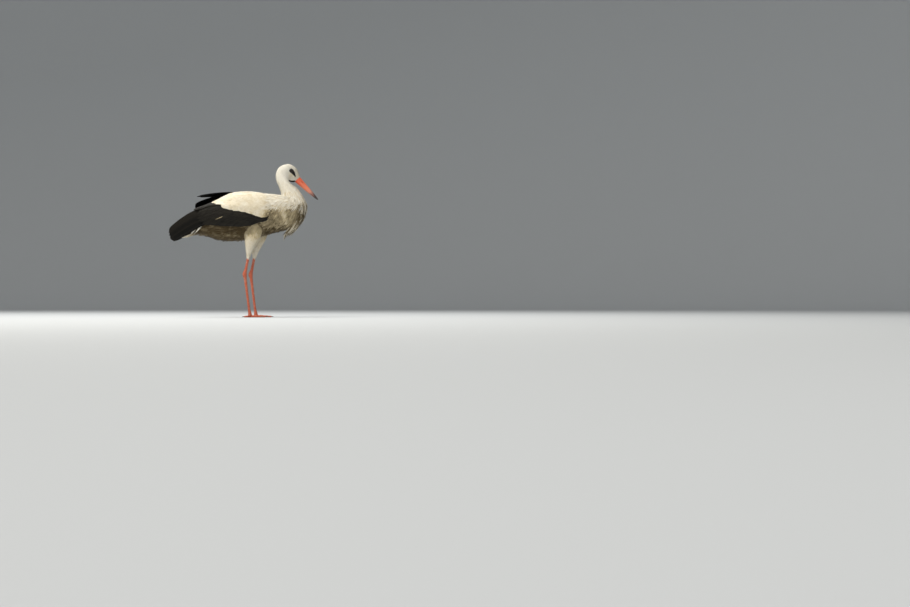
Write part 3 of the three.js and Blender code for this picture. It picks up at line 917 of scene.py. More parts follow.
def make_stage():
    """A round floor whose rim sweeps up into a wall, a high warm lamp and weak fills."""
    flat, sweep, wall = 10.5, 3.0, 8.0
    bend = np.linspace(0, np.pi / 2, 16)
    radius = np.concatenate([[0.05, 3, 6, 9], flat + sweep * np.sin(bend), [flat + sweep]])
    height = np.concatenate([[0, 0, 0, 0], sweep * (1 - np.cos(bend)), [wall]])
    angle, radius, height = circle(96), radius[:, None], height[:, None]
    grid = np.stack([radius * np.cos(angle), radius * np.sin(angle),
                     height + 0 * angle], axis=-1)
    quads, index = ring_mesh(grid)
    stage = new_mesh("floor", grid, [*quads[:, ::-1], index[0].tolist()])
    material = bpy.data.materials.new("floor_paint")
    material.use_nodes = True
    shader = material.node_tree.nodes["Principled BSDF"]
    shader.inputs["Base Color"].default_value = (0.57, 0.60, 0.63, 1)
    shader.inputs["Roughness"].default_value = 0.9
    stage.data.materials.append(material)
    for name, place, size, power, colour in (
        ("key_lamp", (-2.8, -3.1, 6.0), 1.3, 375, (1, 0.94, 0.83)),
        ("fill_lamp", (0.4, -9.6, 3.4), 3.0, 150, (1, 0.95, 0.88)),
        ("top_lamp", (-1.2, 1.4, 6.4), 2.5, 330, (1, 0.98, 0.94)),
    ):
        data = bpy.data.lights.new(name, "AREA")
        data.size, data.energy, data.color = size, power, colour
        lamp = placed(name, data)
        lamp.location = place
        look_along(lamp, np.array([0, 0, 0.5]))
    world = bpy.data.worlds.new("room")
    world.use_nodes = True
    world.node_tree.nodes["Background"].inputs["Color"].default_value = (0.95, 0.95, 0.93, 1)
    world.node_tree.nodes["Background"].inputs["Strength"].default_value = 0.22
    bpy.context.scene.world = world
    bpy.context.scene.view_settings.view_transform = "Standard"


# ---------------------------------------------------------------- skin

# What the coat is like at each station: its depth, and its feathers' lengths, half widths and the
# area each has to itself.
COAT_DEPTH = [0.8, 1.6, 2.2, 2.6, 3.4, 4.6, 5.6, 6.6, 8, 9, 9, 9, 9, 9, 9, 9, 8, 7, 6]
FEATHER_LENGTH = [4, 6, 8, 10, 14, 19, 24, 30, 36, 42, 46, 48, 48, 48, 48, 50, 54, 60, 64]
FEATHER_HALF = [0.4, 0.55, 0.65, 0.8, 1.1, 1.5, 1.9, 2.4, 3, 3.6, 4, 4.4, 4.6, 4.6, 4.6, 4.6, 5,
                5, 5]
FEATHER_SPACING = [1.0, 1.3, 1.6, 2.1, 3.2, 5, 7, 10, 15, 20, 24, 27, 30, 32, 32, 32, 32, 32, 32]


def by_station(values, s):
    """A value from a table with one entry for each station, at shares s of the body."""
    return np.interp(s * LAST, np.arange(LAST + 1), values)


def bareness(points):
    """1 on the bare black skin round the eye and along the throat, 0 off it."""
    off = np.linalg.norm(points[..., [0, 2]] - EYE[[0, 2]] * MM, axis=-1)
    ring = 1 - off / (EYE_RING * MM)
    lines = np.maximum(near_line(points, EYE_PATCH), near_line(points, THROAT_LINE))
    return np.maximum(ring, lines)


def mirrored(points, side):
    """A left part's points on the side asked for."""
    return points * [1, side, 1]


def combine(piece, others, operation):
    """Joins the others to the piece, or cuts them out of it, and removes them."""
    for other in others:
        change = piece.modifiers.new(operation, "BOOLEAN")
        change.operation, change.object, change.solver = operation, other, "MANIFOLD"
    graph = bpy.context.evaluated_depsgraph_get()
    mesh = bpy.data.meshes.new_from_object(piece.evaluated_get(graph))
    piece.modifiers.clear()
    piece.data = mesh
    for other in others:
        bpy.data.objects.remove(other)


def eye_frame(side):
    """The eye's middle, the way it looks, and two ways across that."""
    look = unit(np.array([0.20, 1.0, 0.04]) * [1, side, 1])
    up = unit(np.array([0, 0, 1.0]) - look * look[2])
    return EYE * [1, side, 1] * MM, look, up, np.cross(up, look)


def ball(name, side, radius, rows=24, columns=48, bulge=0.0):
    """A ball round the eye's middle, its pole the way it looks. Within 0.62 rad of the pole
    it stands out by bulge times the square of what is left of 0.62."""
    middle, look, up, across = eye_frame(side)
    polar = np.linspace(0, np.pi, rows + 2)[1:-1, None]
    around = circle(columns)[:, None]
    reach = radius + bulge * np.clip(1 - polar / 0.62, 0, 1) ** 2
    spoke = up * np.cos(around) + across * np.sin(around)
    grid = look * np.cos(polar)[..., None] + spoke * np.sin(polar)[..., None]
    piece = closed_tube(name, middle + grid * reach[..., None] * MM)
    offsets = np.concatenate([np.repeat(polar[:, 0], columns), [0, np.pi]])
    set_attribute(piece, "off_axis", offsets)
    return piece


def lid(name, side, opening, heavy, thin):
    """A rounded fold of skin that lies on the eyeball, its opening the angle off the eye's
    axis, thicker above by heavy than below and drawn out towards the bill."""
    middle, look, up, across = eye_frame(side)
    columns, sides = 72, 14
    around = circle(columns)[:, None]
    forward = across * np.sign(across[0])
    polar = opening + 0.10 * np.clip(np.sin(around), 0, 1) ** 3 - 0.04 * np.cos(around)
    spoke = up * np.cos(around) + forward * np.sin(around)
    lies = look * np.cos(polar) + spoke * np.sin(polar)
    outward = -look * np.sin(polar) + spoke * np.cos(polar)
    thickness = thin + (heavy - thin) * (1 + np.cos(around)) / 2
    section = circle(sides)
    centre = middle + lies * (EYE_RADIUS + 0.15) * MM
    rings = centre[:, None] + MM * thickness[:, None] * (
        lies[:, None] * np.cos(section)[None, :, None]
        + outward[:, None] * 1.25 * np.sin(section)[None, :, None])
    index = np.arange(columns * sides).reshape(columns, sides)
    ahead, right = np.roll(index, -1, axis=0), np.roll(index, -1, axis=1)
    both = np.roll(ahead, -1, axis=1)
    quads = np.stack([index, right, both, ahead], axis=-1).reshape(-1, 4)
    piece = new_mesh(name, rings, quads)
    face_out(piece)
    return piece


def wing_flesh(name, surface, side):
    """The wing's body under its feathers: the surface moved in, joined to a wall near the
    bird's middle."""
    depth, wall = 7, 8
    s, a = np.meshgrid(np.linspace(0.04, 0.80, 60), np.linspace(0, 0.90, 30), indexing="ij")
    place, normal = surface.at(s, a)
    outer = place - normal * depth * MM
    inner = outer[:, ::-1] * [1, 0, 1] + [0, wall * MM, 0]
    return closed_tube(name, mirrored(np.concatenate([outer, inner], axis=1), side))


def on_toe(along, out, up, turn):
    """Points so far along a left toe's way, out to its left and above the floor."""
    heading = math.radians(turn)
    x = along * math.cos(heading) - out * math.sin(heading)
    y = along * math.sin(heading) + out * math.cos(heading)
    return np.stack([x + FOOT_X, y + FOOT_Y, up], axis=-1)


def toe_surface(turn, length, root, rows=60, columns=28):
    """A left toe. Its width and height fall evenly from root to tip and swell three times by
    7 %, its end is rounded off, and its sole is cut flat."""
    t = np.linspace(0, 1, rows)[:, None]
    joints = 1 + 0.07 * np.cos(t * np.pi * 6)
    tip = np.sqrt(np.clip(1 - np.clip((t - 0.9) / 0.1, 0, 1) ** 2, 0.2, 1))
    width = (root + (5.4 - root) * t) / 2 * joints * tip
    tall = (root * 0.62 + (3.6 - root * 0.62) * t) * joints
    angle = circle(columns)
    out = -width * np.sin(angle)
    up = np.maximum(tall * 0.8 + tall * tip * np.cos(angle), 0)
    along = np.broadcast_to(length * t, out.shape)
    return Surface(on_toe(along, out, up, turn) * MM, True)


def foot_pad(name, side):
    """The small web where the front toes meet: half an oval dome."""
    angle = circle(40)
    rise = np.linspace(0.02, 1, 10)[:, None] * np.pi / 2
    x = FOOT_X + 11 + 19 * np.cos(rise) * np.cos(angle)
    y = FOOT_Y + 17 * np.cos(rise) * np.sin(angle)
    z = np.broadcast_to(5.5 * np.sin(rise), x.shape)
    grid = np.stack([x, y, z], axis=-1)[:-1] * MM
    return closed_tube(name, mirrored(grid, side))


def leg_flesh(name, side, shift):
    """Shank, tarsus and toes grown together by a voxel remesh and smoothed, flat below."""
    tubes = [limb_surface(LEG, 0, 200, 36).points]
    tubes += [toe_surface(*size).points for size in TOES.values()]
    parts = [closed_tube(f"part_{k}", mirrored(tube, side)) for k, tube in enumerate(tubes)]
    parts.append(foot_pad("pad", side))
    points, faces, start = [], [], 0
    for part in parts:
        points.append(places_of(part))
        faces += [[start + v for v in face.vertices] for face in part.data.polygons]
        start += len(part.data.vertices)
        bpy.data.objects.remove(part)
    leg = new_mesh(name, np.concatenate(points) + [shift * MM, 0, 0], faces)
    voxel, sole = 1.15, 0.6  # what lies below the sole's height is brought down to the floor
    grown = leg.modifiers.new("grown", "REMESH")
    grown.mode, grown.voxel_size = "VOXEL", voxel * MM
    even = leg.modifiers.new("even", "SMOOTH")
    even.factor, even.iterations = 0.5, 3
    combine(leg, [], "UNION")
    places = places_of(leg)
    places[places[:, 2] < sole * MM, 2] = 0
    leg.data.vertices.foreach_set("co", places.ravel())
    leg.data.update()
    return leg


def make_skin(body, wing, finish):
    """Head, neck, trunk, wings, legs and toes as one skin, inside the solids by the coat's
    depth, with sockets cut for the eyes and lids round them."""
    s, _ = body.shares()
    gap, bare_depth, head_ends = 0.8, 0.9, 5
    depth = by_station(COAT_DEPTH, s) + gap
    bare = blend_in(bareness(body.points), -0.5, 0.2)
    depth = depth + (bare_depth - depth) * bare * (s * LAST < head_ends)
    inner = body.points - body.normals * depth[..., None] * MM
    skin = closed_tube("skin", inner)
    others = [lid(f"lid_{name}", SIDES[name], 0.80, 1.15, 0.8) for name in ("l", "r")]
    for name, side in SIDES.items():
        shift = LEG_SHIFT[name]
        thigh = limb_surface(THIGH, shift)
        inside = thigh.points - thigh.normals * 5 * MM
        others.append(closed_tube(f"thigh_flesh_{name}", mirrored(inside, side)))
        others.append(wing_flesh(f"wing_flesh_{name}", wing, side))
        others.append(leg_flesh(f"leg_flesh_{name}", side, shift))
    combine(skin, others, "UNION")
    sockets = [ball(f"socket_{name}", side, EYE_RADIUS - 0.15) for name, side in SIDES.items()]
    combine(skin, sockets, "DIFFERENCE")
    mesh = skin.data
    mesh.polygons.foreach_set("use_smooth", np.ones(len(mesh.polygons), bool))
    left_over = mesh.attributes.get("off_axis")
    if left_over:
        mesh.attributes.remove(left_over)
    places = places_of(skin)
    x, y, z = (places / MM).T
    on_head = blend_in(x, 215, 222) * blend_in(z, 715, 722)
    set_attribute(skin, "bare", blend_in(bareness(places), -0.5, -0.3) * on_head)
    set_attribute(skin, "leg", 1 - blend_in(z, 338, 346))
    # Dirt and painted shade for the down, from the same mark as the feathers'.
    set_attribute(skin, "stain_and_shade", stain_and_shade_at(places))
    edge = np.interp(-x, [-150, -77, -30, 25, 90, 125, 190], [518, 528, 545, 558, 572, 600, 610])
    below = 1 - blend_in(z - edge, -6, 6)
    aside = np.abs(y) - np.interp(-x, [100, 150], [70, 48])
    on_wing = blend_in(aside, 0, 14) * blend_in(-x, -150, -110) * blend_in(z, 470, 480)
    set_attribute(skin, "dark", below * on_wing)
    nodes = ["head", "neck_upper", "neck_middle", "neck_lower", "breast", "trunk", "rump"]
    for part in ("thigh", "shank", "tarsus", *(f"toe_{toe}" for toe in TOES)):
        nodes += [f"{part}_{name}" for name in SIDES]
    return attach(skin, "leg_skin", finish, *nodes)


# ---------------------------------------------------------------- bill, eyes and claws

def bill_half(name, rise, finish, node):
    """Half the bill, rise +1 above the gape and -1 below it. In the bill's own frame it runs
    along t from 0 to 1 and its depth falls as (1 - t) ** 0.62. A section is a half oval whose
    half width is 11.6 (1 - t) ** 0.8 + 0.7 at the gape."""
    rows, columns = 110, 56
    t = np.linspace(-0.05, 1, rows)[:, None]
    left = np.clip(1 - t, 0, 1.05)
    depth = (19 if rise > 0 else 14.5) * left**0.62 + 1.0
    width = 11.6 * left**0.8 + 0.7
    gape = -2.5 + 2.5 * t
    up, out = np.cos(circle(columns)), np.sin(circle(columns))
    high = np.where(up > 0, np.abs(up) ** 0.85, -0.03 * np.abs(up) ** 0.5)
    over = np.sign(out) * np.abs(out) ** np.where(up > 0, 0.9, 0.5)
    slit = (np.exp(-(((t - 0.17) / 0.055) ** 4))
            * np.exp(-(((high - 0.50) / 0.055) ** 2)) * (rise > 0))
    groove = (np.exp(-(((high - 0.50) / 0.07) ** 2)) * blend_in(t, 0.02, 0.1)
              * (1 - blend_in(t, 0.3, 0.75)) * (rise > 0))
    keel = 1 - 0.35 * np.clip(high, 0, 1) ** 2
    end = np.sqrt(np.clip(1 - np.clip((t - 0.97) / 0.03, 0, 1) ** 2, 0.02, 1))
    y = width * over * keel * end - np.sign(out) * (1.5 * slit + 0.45 * groove)
    z = gape + rise * (0.25 + depth * high * end)
    x = BILL_LENGTH * np.broadcast_to(t, y.shape)
    cosine, sine = math.cos(BILL_DROP), math.sin(BILL_DROP)
    grid = np.stack([BILL_BASE[0] + x * cosine + z * sine, y,
                     BILL_BASE[2] - x * sine + z * cosine], axis=-1)
    piece = closed_tube(name, grid * MM)
    # The upper half's ridge, which the finish darkens as painted shade.
    culmen_shade = blend_in(high, 0.88, 1.0) * (rise > 0) * np.ones_like(t)
    run = np.broadcast_to(t, culmen_shade.shape)
    for key, values, ends in (("run", run, [0, 1]), ("culmen_shade", culmen_shade, [0, 0]),
                              ("slit", slit, [0, 0])):
        set_attribute(piece, key, np.append(values, ends))
    return attach(piece, "bill", finish, node)


def make_claw(name, toe, side, shift, finish, node):
    """A blunt nail that goes on from the toe's tip and bends down to the floor."""
    turn, length, _ = TOES[toe]
    sunk = 2.2  # how far its root goes into the toe
    t = np.linspace(0, 1, 16)[:, None]
    angle = circle(20)
    radius = 2.5 * np.sqrt(np.clip(1 - t**2.6, 0, 1)) * (1 - 0.35 * t) + 0.2
    out = radius * 0.9 * np.sin(angle)
    up = 3.4 + 0.8 * t - 2.8 * t * t + radius * 0.85 * np.cos(angle)
    along = np.broadcast_to(length - sunk + (CLAW_LENGTH + sunk) * t, out.shape)
    grid = (on_toe(along, out, np.maximum(up, 0), turn) + [shift, 0, 0]) * MM
    return attach(closed_tube(name, mirrored(grid, side)), "claw", finish, node)


# ---------------------------------------------------------------- coats

POINTED = Vane(5, 2, widest=0.45, blunt=1.25, flat=True)
TINY = Vane(3, 2, widest=0.4, blunt=1.3, flat=True)
COVERT = Vane(6, 4, widest=0.5, blunt=1.6, flat=True)
QUILL = Vane(14, 6, widest=0.5, blunt=2.6, lead=0.75, sweep=0.5)
SECONDARY = Vane(14, 6, widest=0.5, blunt=2.05, lead=0.75, sweep=0.5)
LONG_POINTED = Vane(9, 2, widest=0.35, blunt=1.1, flat=True)
PLATE = Vane(3, 4, widest=0.5, blunt=3.0, sweep=-0.1, stem=0.7, flat=True)


def tones_of(points, rng):
    """A feather's shade, painted whiter on the upper neck and head as painted light, and how dirty
    and how shaded it is painted where it lies, give or take a centimetre.
    """
    count = len(points)
    places = points[:, points.shape[1] // 2] + [0, 0, MM] * rng.normal(0, 9, (count, 1))
    stain_and_shade = stain_and_shade_at(places) + rng.normal(0, 0.06, count)
    # Feathers on the upper neck and head are painted whiter, as painted light on the crown.
    tone = rng.uniform(0, 1, count) + 0.4 * blend_in(places[:, 2] / MM, 690, 760)
    return {"tone": np.minimum(tone, 1), "stain_and_shade": np.clip(stain_and_shade, -0.1, 1)}


def white_coat(name, surface, roots, plan, length, half, rng, finish, soil_and_shade=None, tones=None,
               side=LEFT, nodes=(), span=(0.0, 1.0), **lie):
    """White feathers of given roots, lengths and half widths. The function given for their dirt
    and painted shade changes their tones, if anything does, and span is the stretch of s that
    their baked patches cover."""
    laid = lay(surface, *roots, plan, length, half, rng, **lie)
    tones = tones or tones_of(laid[0], rng)
    if soil_and_shade:
        soil_and_shade(tones)
    piece = feather_piece(name, laid, plan, patches(*roots, *span), tones, side)
    return attach(piece, "white_feathers", finish, *nodes)


def streaked(rng, share, left):
    """What makes streaks: this share of the feathers keeps only so much of its dirt and painted
    shade, and the others are all dirty and painted shaded."""
    def soil_and_shade(tones):
        clean = rng.uniform(0, 1, len(tones["stain_and_shade"])) < share
        tones["stain_and_shade"] = np.where(clean, left * tones["stain_and_shade"], np.maximum(tones["stain_and_shade"], 0.3))
    return soil_and_shade


def body_coat(name, body, first, last, plan, finish, seed, keep=None, fluff=1.0):
    """The small feathers between two stations, sized by the tables."""
    rng = np.random.default_rng(seed)
    throat = 3.35  # past this station feathers close over the throat's bare line
    s, a = body.shares()
    station = s * LAST
    grows = (station >= first) & (station < last)
    grows &= ~((bareness(body.points) > 0.05) & (station < throat))
    if keep is not None:
        grows &= keep(*(body.points / MM).transpose(2, 0, 1))
    s, a, count = spread_roots(body, grows, by_station(FEATHER_SPACING, s), rng)
    vary = rng.uniform(0.8, 1.2, count)
    length = by_station(FEATHER_LENGTH, s) * vary
    half = by_station(FEATHER_HALF, s) * rng.uniform(0.85, 1.15, count)
    length = np.minimum(length, run_to(body, s, a, np.ones(count)) + rng.uniform(6, 20, count))
    curl = np.abs(rng.normal(0, 0.05, count)) * length * fluff
    down, steep = fall(body, s, a)
    x, _, z = (body.at(s, a)[0] / MM).T
    hang = 0.65 * blend_in(x, 120, 200) * (1 - blend_in(z, 620, 690)) * steep * down
    rise = rng.uniform(-0.3, 0.6, count) * np.clip(length / 24, 0.3, 1)
    white_coat(name, body, (s, a), plan, length, half, rng, finish,
               turn=hang + rng.normal(0, 0.13, count), sink=by_station(COAT_DEPTH, s), rise=rise,
               curl=curl, thick=np.minimum(0.4, half * 0.12), twist=rng.normal(0, 0.12, count),
               ragged=0.2, fringe=0.08, span=(first / LAST, last / LAST))


def clear_of_wings(x, y, z):
    """Where the trunk isn't hidden under the folded wings."""
    return ~((np.abs(y) > 62) & (z > 526) & (z < 636) & (x > -200) & (x < 125))


def height_over(surface, points):
    """How far each point stands off a surface, along the normal at its nearest place there."""
    places, normals = surface.points.reshape(-1, 3), surface.normals.reshape(-1, 3)
    squares = (places**2).sum(-1) - 2 * points @ places.T
    nearest = np.argmin(squares, axis=1)
    return np.sum((points - places[nearest]) * normals[nearest], axis=-1)


def thigh_coat(name, body, side, shift, finish, seed):
    """The trousers: pointed feathers that run down the thigh and fringe the knee, painted a shade
    darker as painted shade, and dirty and painted shaded where they come out of the belly's. None
    grows inside the trunk."""
    rng = np.random.default_rng(seed)
    spacing, inside = 13.0, -9
    thigh = limb_surface(THIGH, shift)
    s, a, _ = spread_roots(thigh, True, spacing, rng)
    clear = height_over(body, thigh.at(s, a)[0]) > inside * MM
    s, a = s[clear], a[clear]
    count = len(s)
    length = 36 - 14 * s + rng.uniform(-3, 3, count)

    def soil_and_shade(tones):
        # Painted shade: all thigh feathers painted a shade darker, and dirt and painted shade
        # towards the top, where they come out of the belly's.
        top = 1 - blend_in(s + rng.normal(0, 0.06, count), 0.18, 0.62)
        tones["tone"] *= 0.5
        tones["stain_and_shade"] = 0.03 + (0.08 + 0.5 * top) * tones["stain_and_shade"]

    white_coat(name, thigh, (s, a), POINTED, length, 3.6 - 1.4 * s, rng, finish, soil_and_shade, side=side,
               sink=5, rise=0.5, turn=rng.normal(0, 0.15, count),
               curl=rng.uniform(0, 2.5, count), thick=0.4)


def hackle_coat(finish, seed):
    """The long narrow feathers of the lower neck, which hang free before the breast."""
    rng = np.random.default_rng(seed)
    front = np.array([[286, 0, 694], [316, 0, 646], [332, 0, 604], [332, 0, 566], [321, 0, 532],
                      [300, 0, 498], [270, 0, 460], [238, 0, 424]], float)
    rear = np.array([[222, 0, 694], [236, 0, 640], [250, 0, 600], [260, 0, 556], [246, 0, 508],
                     [222, 0, 468], [206, 0, 440], [206, 0, 418]], float)
    half_width = np.array([38, 49, 57, 56, 52, 44, 32, 18], float)
    side = np.stack([0 * half_width, half_width, 0 * half_width], axis=1)
    curtain = ring_surface((front + rear) / 2, (front - rear) / 2, side, 120, 80)
    drop = 312  # how far it is from the curtain's top to its bottom
    s, a = curtain.shares()
    forward = np.cos(2 * np.pi * a) > -0.6
    s, a, count = spread_roots(curtain, (s < 0.68) & forward, 25.0, rng)
    room = (1.04 - s - 0.1 * rng.uniform(0, 1, count)) * drop
    length = np.minimum(rng.uniform(60, 108, count), room)
    clean = np.interp(s, [0, 0.15, 0.3, 0.5, 0.68], [0.75, 0.75, 0.22, 0.18, 0.6])
    white_coat("hackles", curtain, (s, a), LONG_POINTED, length, rng.uniform(2.4, 4.2, count),
               rng, finish, streaked(rng, clean, 0.2), nodes=["breast_hackles"],
               sink=7, rise=rng.uniform(-3, 2, count), turn=rng.normal(0, 0.06, count),
               curl=rng.normal(-1, 4, count), bend=rng.normal(0, 0.12, count), thick=0.4)


def collar_coat(body, finish, seed):
    """The clean lowest neck feathers, whose points fall over the breast's dirt and painted shade.
    """
    rng = np.random.default_rng(seed)
    x, _, z = (body.points / MM).transpose(2, 0, 1)
    grows = (x > 196) & (z > 612) & (z < 700)
    s, a, count = spread_roots(body, grows, 34.0, rng)
    down, steep = fall(body, s, a)
    white_coat("collar_feathers", body, (s, a), LONG_POINTED, rng.uniform(44, 76, count),
               rng.uniform(2, 3.4, count), rng, finish, streaked(rng, 0.7, 0.1), sink=7,
               rise=rng.uniform(0.3, 2.5, count), bend=rng.normal(0, 0.1, count),
               turn=0.8 * steep * down + rng.normal(0, 0.08, count),
               curl=rng.normal(0.5, 1.5, count), thick=0.35)


def mantle_coat(finish, seed):
    """The feathers along the back that close the gap between the wings."""
    rng = np.random.default_rng(seed)
    mantle = sheet_surface(MANTLE_SHEET)
    s, _ = mantle.shares()
    s, a, count = spread_roots(mantle, s < 0.9, 44.0, rng)
    white_coat("mantle_feathers", mantle, (s, a), COVERT, rng.uniform(36, 48, count),
               rng.uniform(5, 7, count), rng, finish, sink=5, rise=rng.uniform(0, 0.5, count),
               turn=rng.normal(0, 0.06, count), camber=0.07, thick=0.25,
               curl=np.abs(rng.normal(0, 0.3, count)))


def shoulder_coat(letter, wing, finish, seed):
    """Pointed feathers that run back over the wing's front edge and blur it."""
    rng = np.random.default_rng(seed)
    count = 150
    s = wing_share(rng.uniform(146, 182, count))
    a = rng.uniform(0.0, 0.78, count)
    white_coat(f"shoulder_feathers_{letter}", wing, (s, a), LONG_POINTED,
               rng.uniform(30, 50, count), rng.uniform(2.2, 3.4, count), rng, finish,
               side=SIDES[letter], sink=6, rise=rng.uniform(0.8, 3, count),
               curl=rng.normal(0, 1, count),
               turn=-0.55 * a - 0.1 + rng.normal(0, 0.14, count), thick=0.35)


def leg_scales(letter, finish, seed):
    """Horny plates: small ones round shank and tarsus in staggered rows, and broad ones
    across the tops of the toes."""
    rng = np.random.default_rng(seed)
    side, shift = SIDES[letter], LEG_SHIFT[letter]
    leg = limb_surface(LEG, 0, 200, 60)
    round_it, step, toe_step, overlap = 12, 3.1, 2.7, 1.12
    share = np.linspace(0.03, 0.985, 400)
    run = run_to(leg, np.full(400, share[0]), np.zeros(400), share)
    s, a = row_roots((0, run[-1], int(run[-1] / step)), (0, 1 - 1 / round_it, round_it), rng, 0.12)
    s = np.interp(s, run, share)
    girth = 2 * np.pi * smooth(LEG[:, 3:], s).mean(-1)
    laid = [lay(leg, s, a, PLATE, 4.2, girth / (2 * round_it) * overlap, rng, sink=0.25,
                rise=0.35, thick=0.3, camber=0.08, ragged=0.05, fringe=0.02)]
    corners = [patches(s, a, 0, 2)]
    for number, (turn, length, root) in enumerate(TOES.values()):
        toe = toe_surface(turn, length, root)
        rows = int(length / toe_step)
        for place, half in ((0.0, 3.4), (0.15, 1.6), (-0.15, 1.6)):
            s = np.linspace(0.10, 0.93, rows) + rng.uniform(-0.002, 0.002, rows)
            size = half * np.interp(s, [0, 1], [1.25, 0.75])
            laid.append(lay(toe, s, np.full(rows, place), PLATE, 4.0, size, rng, sink=0.1,
                            rise=0.3, thick=0.3, camber=0.05, ragged=0.04, fringe=0.02))
            corners.append(patches(s, s * 0 + (number + 0.5 + place) / 4, -1, 1))
    points, local = (np.concatenate(parts) for parts in zip(*laid))
    tones = {"tone": rng.uniform(0, 1, len(points))}
    piece = feather_piece(f"leg_scales_{letter}", (points + [shift * MM, 0, 0], local), PLATE,
                          np.concatenate(corners), tones, side)
    return attach(piece, "leg_skin", finish)


def wing_share(x):
    """The wing surface's s at an X in millimetres."""
    return (WING_FRONT - x) / (WING_FRONT - WING_REAR)


def wing_x(s):
    """The X in millimetres at the wing surface's s."""
    return WING_FRONT + (WING_REAR - WING_FRONT) * s


def share_down(surface, s, a, drop):
    """The share of the wing's breadth that a way down of drop millimetres is."""
    step = 0.02
    over, under = surface.at(s, a - step)[0], surface.at(s, a + step)[0]
    return 2 * step * drop * MM / np.linalg.norm(over - under, axis=-1)


# The wing's white feathers: their lengths, half widths and spacing at some X.
SIZED_AT = [-150, -50, 60, 166]
COVERT_LENGTH = [58, 50, 34, 18]
COVERT_HALF = [10, 9, 6.5, 4]
COVERT_SPACING = [68, 50, 30, 14]


def white_wing(name, wing, side, finish, seed, low, high, nodes):
    """White coverts and scapulars between two shares across the wing, larger to the rear.
    None reaches past the white's edge, and an even row of them ends along it."""
    rng = np.random.default_rng(seed)

    def sized(table, x):
        return np.interp(x, SIZED_AT, table)

    s, a = wing.shares()
    x = wing_x(s)
    last = np.interp(a, [0, 0.3, 0.45, 0.6], [-146, -116, -108, -92])
    reach = sized(COVERT_LENGTH, x)
    edge = np.interp(x - reach, *WHITE_EDGE.T) - share_down(wing, s, a, 0.2 * reach + 5)
    grows = (a >= low) & (a < high) & (x > last) & (a < edge)
    s, a, _ = spread_roots(wing, grows, sized(COVERT_SPACING, x), rng)
    if high > WHITE_EDGE[-1, 1] - 0.01:
        x = np.arange(150, -106, -6.5)
        length = sized(COVERT_LENGTH, x)
        row = wing_share(x)
        at = np.interp(x - length, *WHITE_EDGE.T)
        s = np.append(s, row)
        a = np.append(a, at - share_down(wing, row, at, 0.2 * length + 1))
    count = len(s)
    x = wing_x(s)
    length = sized(COVERT_LENGTH, x) * rng.uniform(0.88, 1.12, count)
    half = sized(COVERT_HALF, x) * rng.uniform(0.85, 1.15, count)
    slope = np.interp(a, [0, 0.3, 0.6], [0.02, -0.10, -0.20])

    def soil_and_shade(tones):
        # A cream tint on every feather, and near the wing's front the breast's dirt and painted
        # shade.
        tones["tone"] *= 0.65
        tones["stain_and_shade"] = 0.19 + tones["stain_and_shade"] * (0.2 + 0.7 * blend_in(x, 105, 150))

    white_coat(name, wing, (s, a), COVERT, length, half, rng, finish, soil_and_shade, side=side,
               nodes=nodes, turn=slope + rng.normal(0, 0.05, count), sink=6,
               rise=rng.uniform(-0.1, 0.3, count), camber=0.05, ragged=0.09, thick=0.2,
               twist=rng.normal(0, 0.03, count), curl=np.abs(rng.normal(0, 0.25, count)))


def black_coat(name, surface, roots, plan, sizes, side, finish, seed, nodes, bloom=0.0,
               tone=(0.1, 1), **lie):
    """Dark feathers of given roots, lengths and half widths."""
    rng = np.random.default_rng(seed)
    count = len(roots[0])
    laid = lay(surface, *roots, plan, *sizes, rng, ragged=0.03, fringe=0.012, **lie)
    tones = {"tone": rng.uniform(*tone, count), "stain_and_shade": np.zeros(count),
             "bloom": np.full(count, bloom) * rng.uniform(0.4, 1.3, count)}
    piece = feather_piece(name, laid, plan, patches(*roots), tones, side)
    return attach(piece, "black_feathers", finish, *nodes)


def fan(name, stations, count, back, across, lengths, half, finish, seed, node, side, **look):
    """Broad dark quills side by side over a sheet, each rooted a little further back. across
    has where the first root lies and how far on the last one does."""
    order = np.arange(count) / (count - 1)
    length = np.interp(order, np.linspace(0, 1, len(lengths)), lengths)
    roots = 0.02 + back * order, across[0] + across[1] * order
    black_coat(name, sheet_surface(stations), roots, QUILL, (length, half), side, finish, seed,
               [node], thick=0.8, **look)


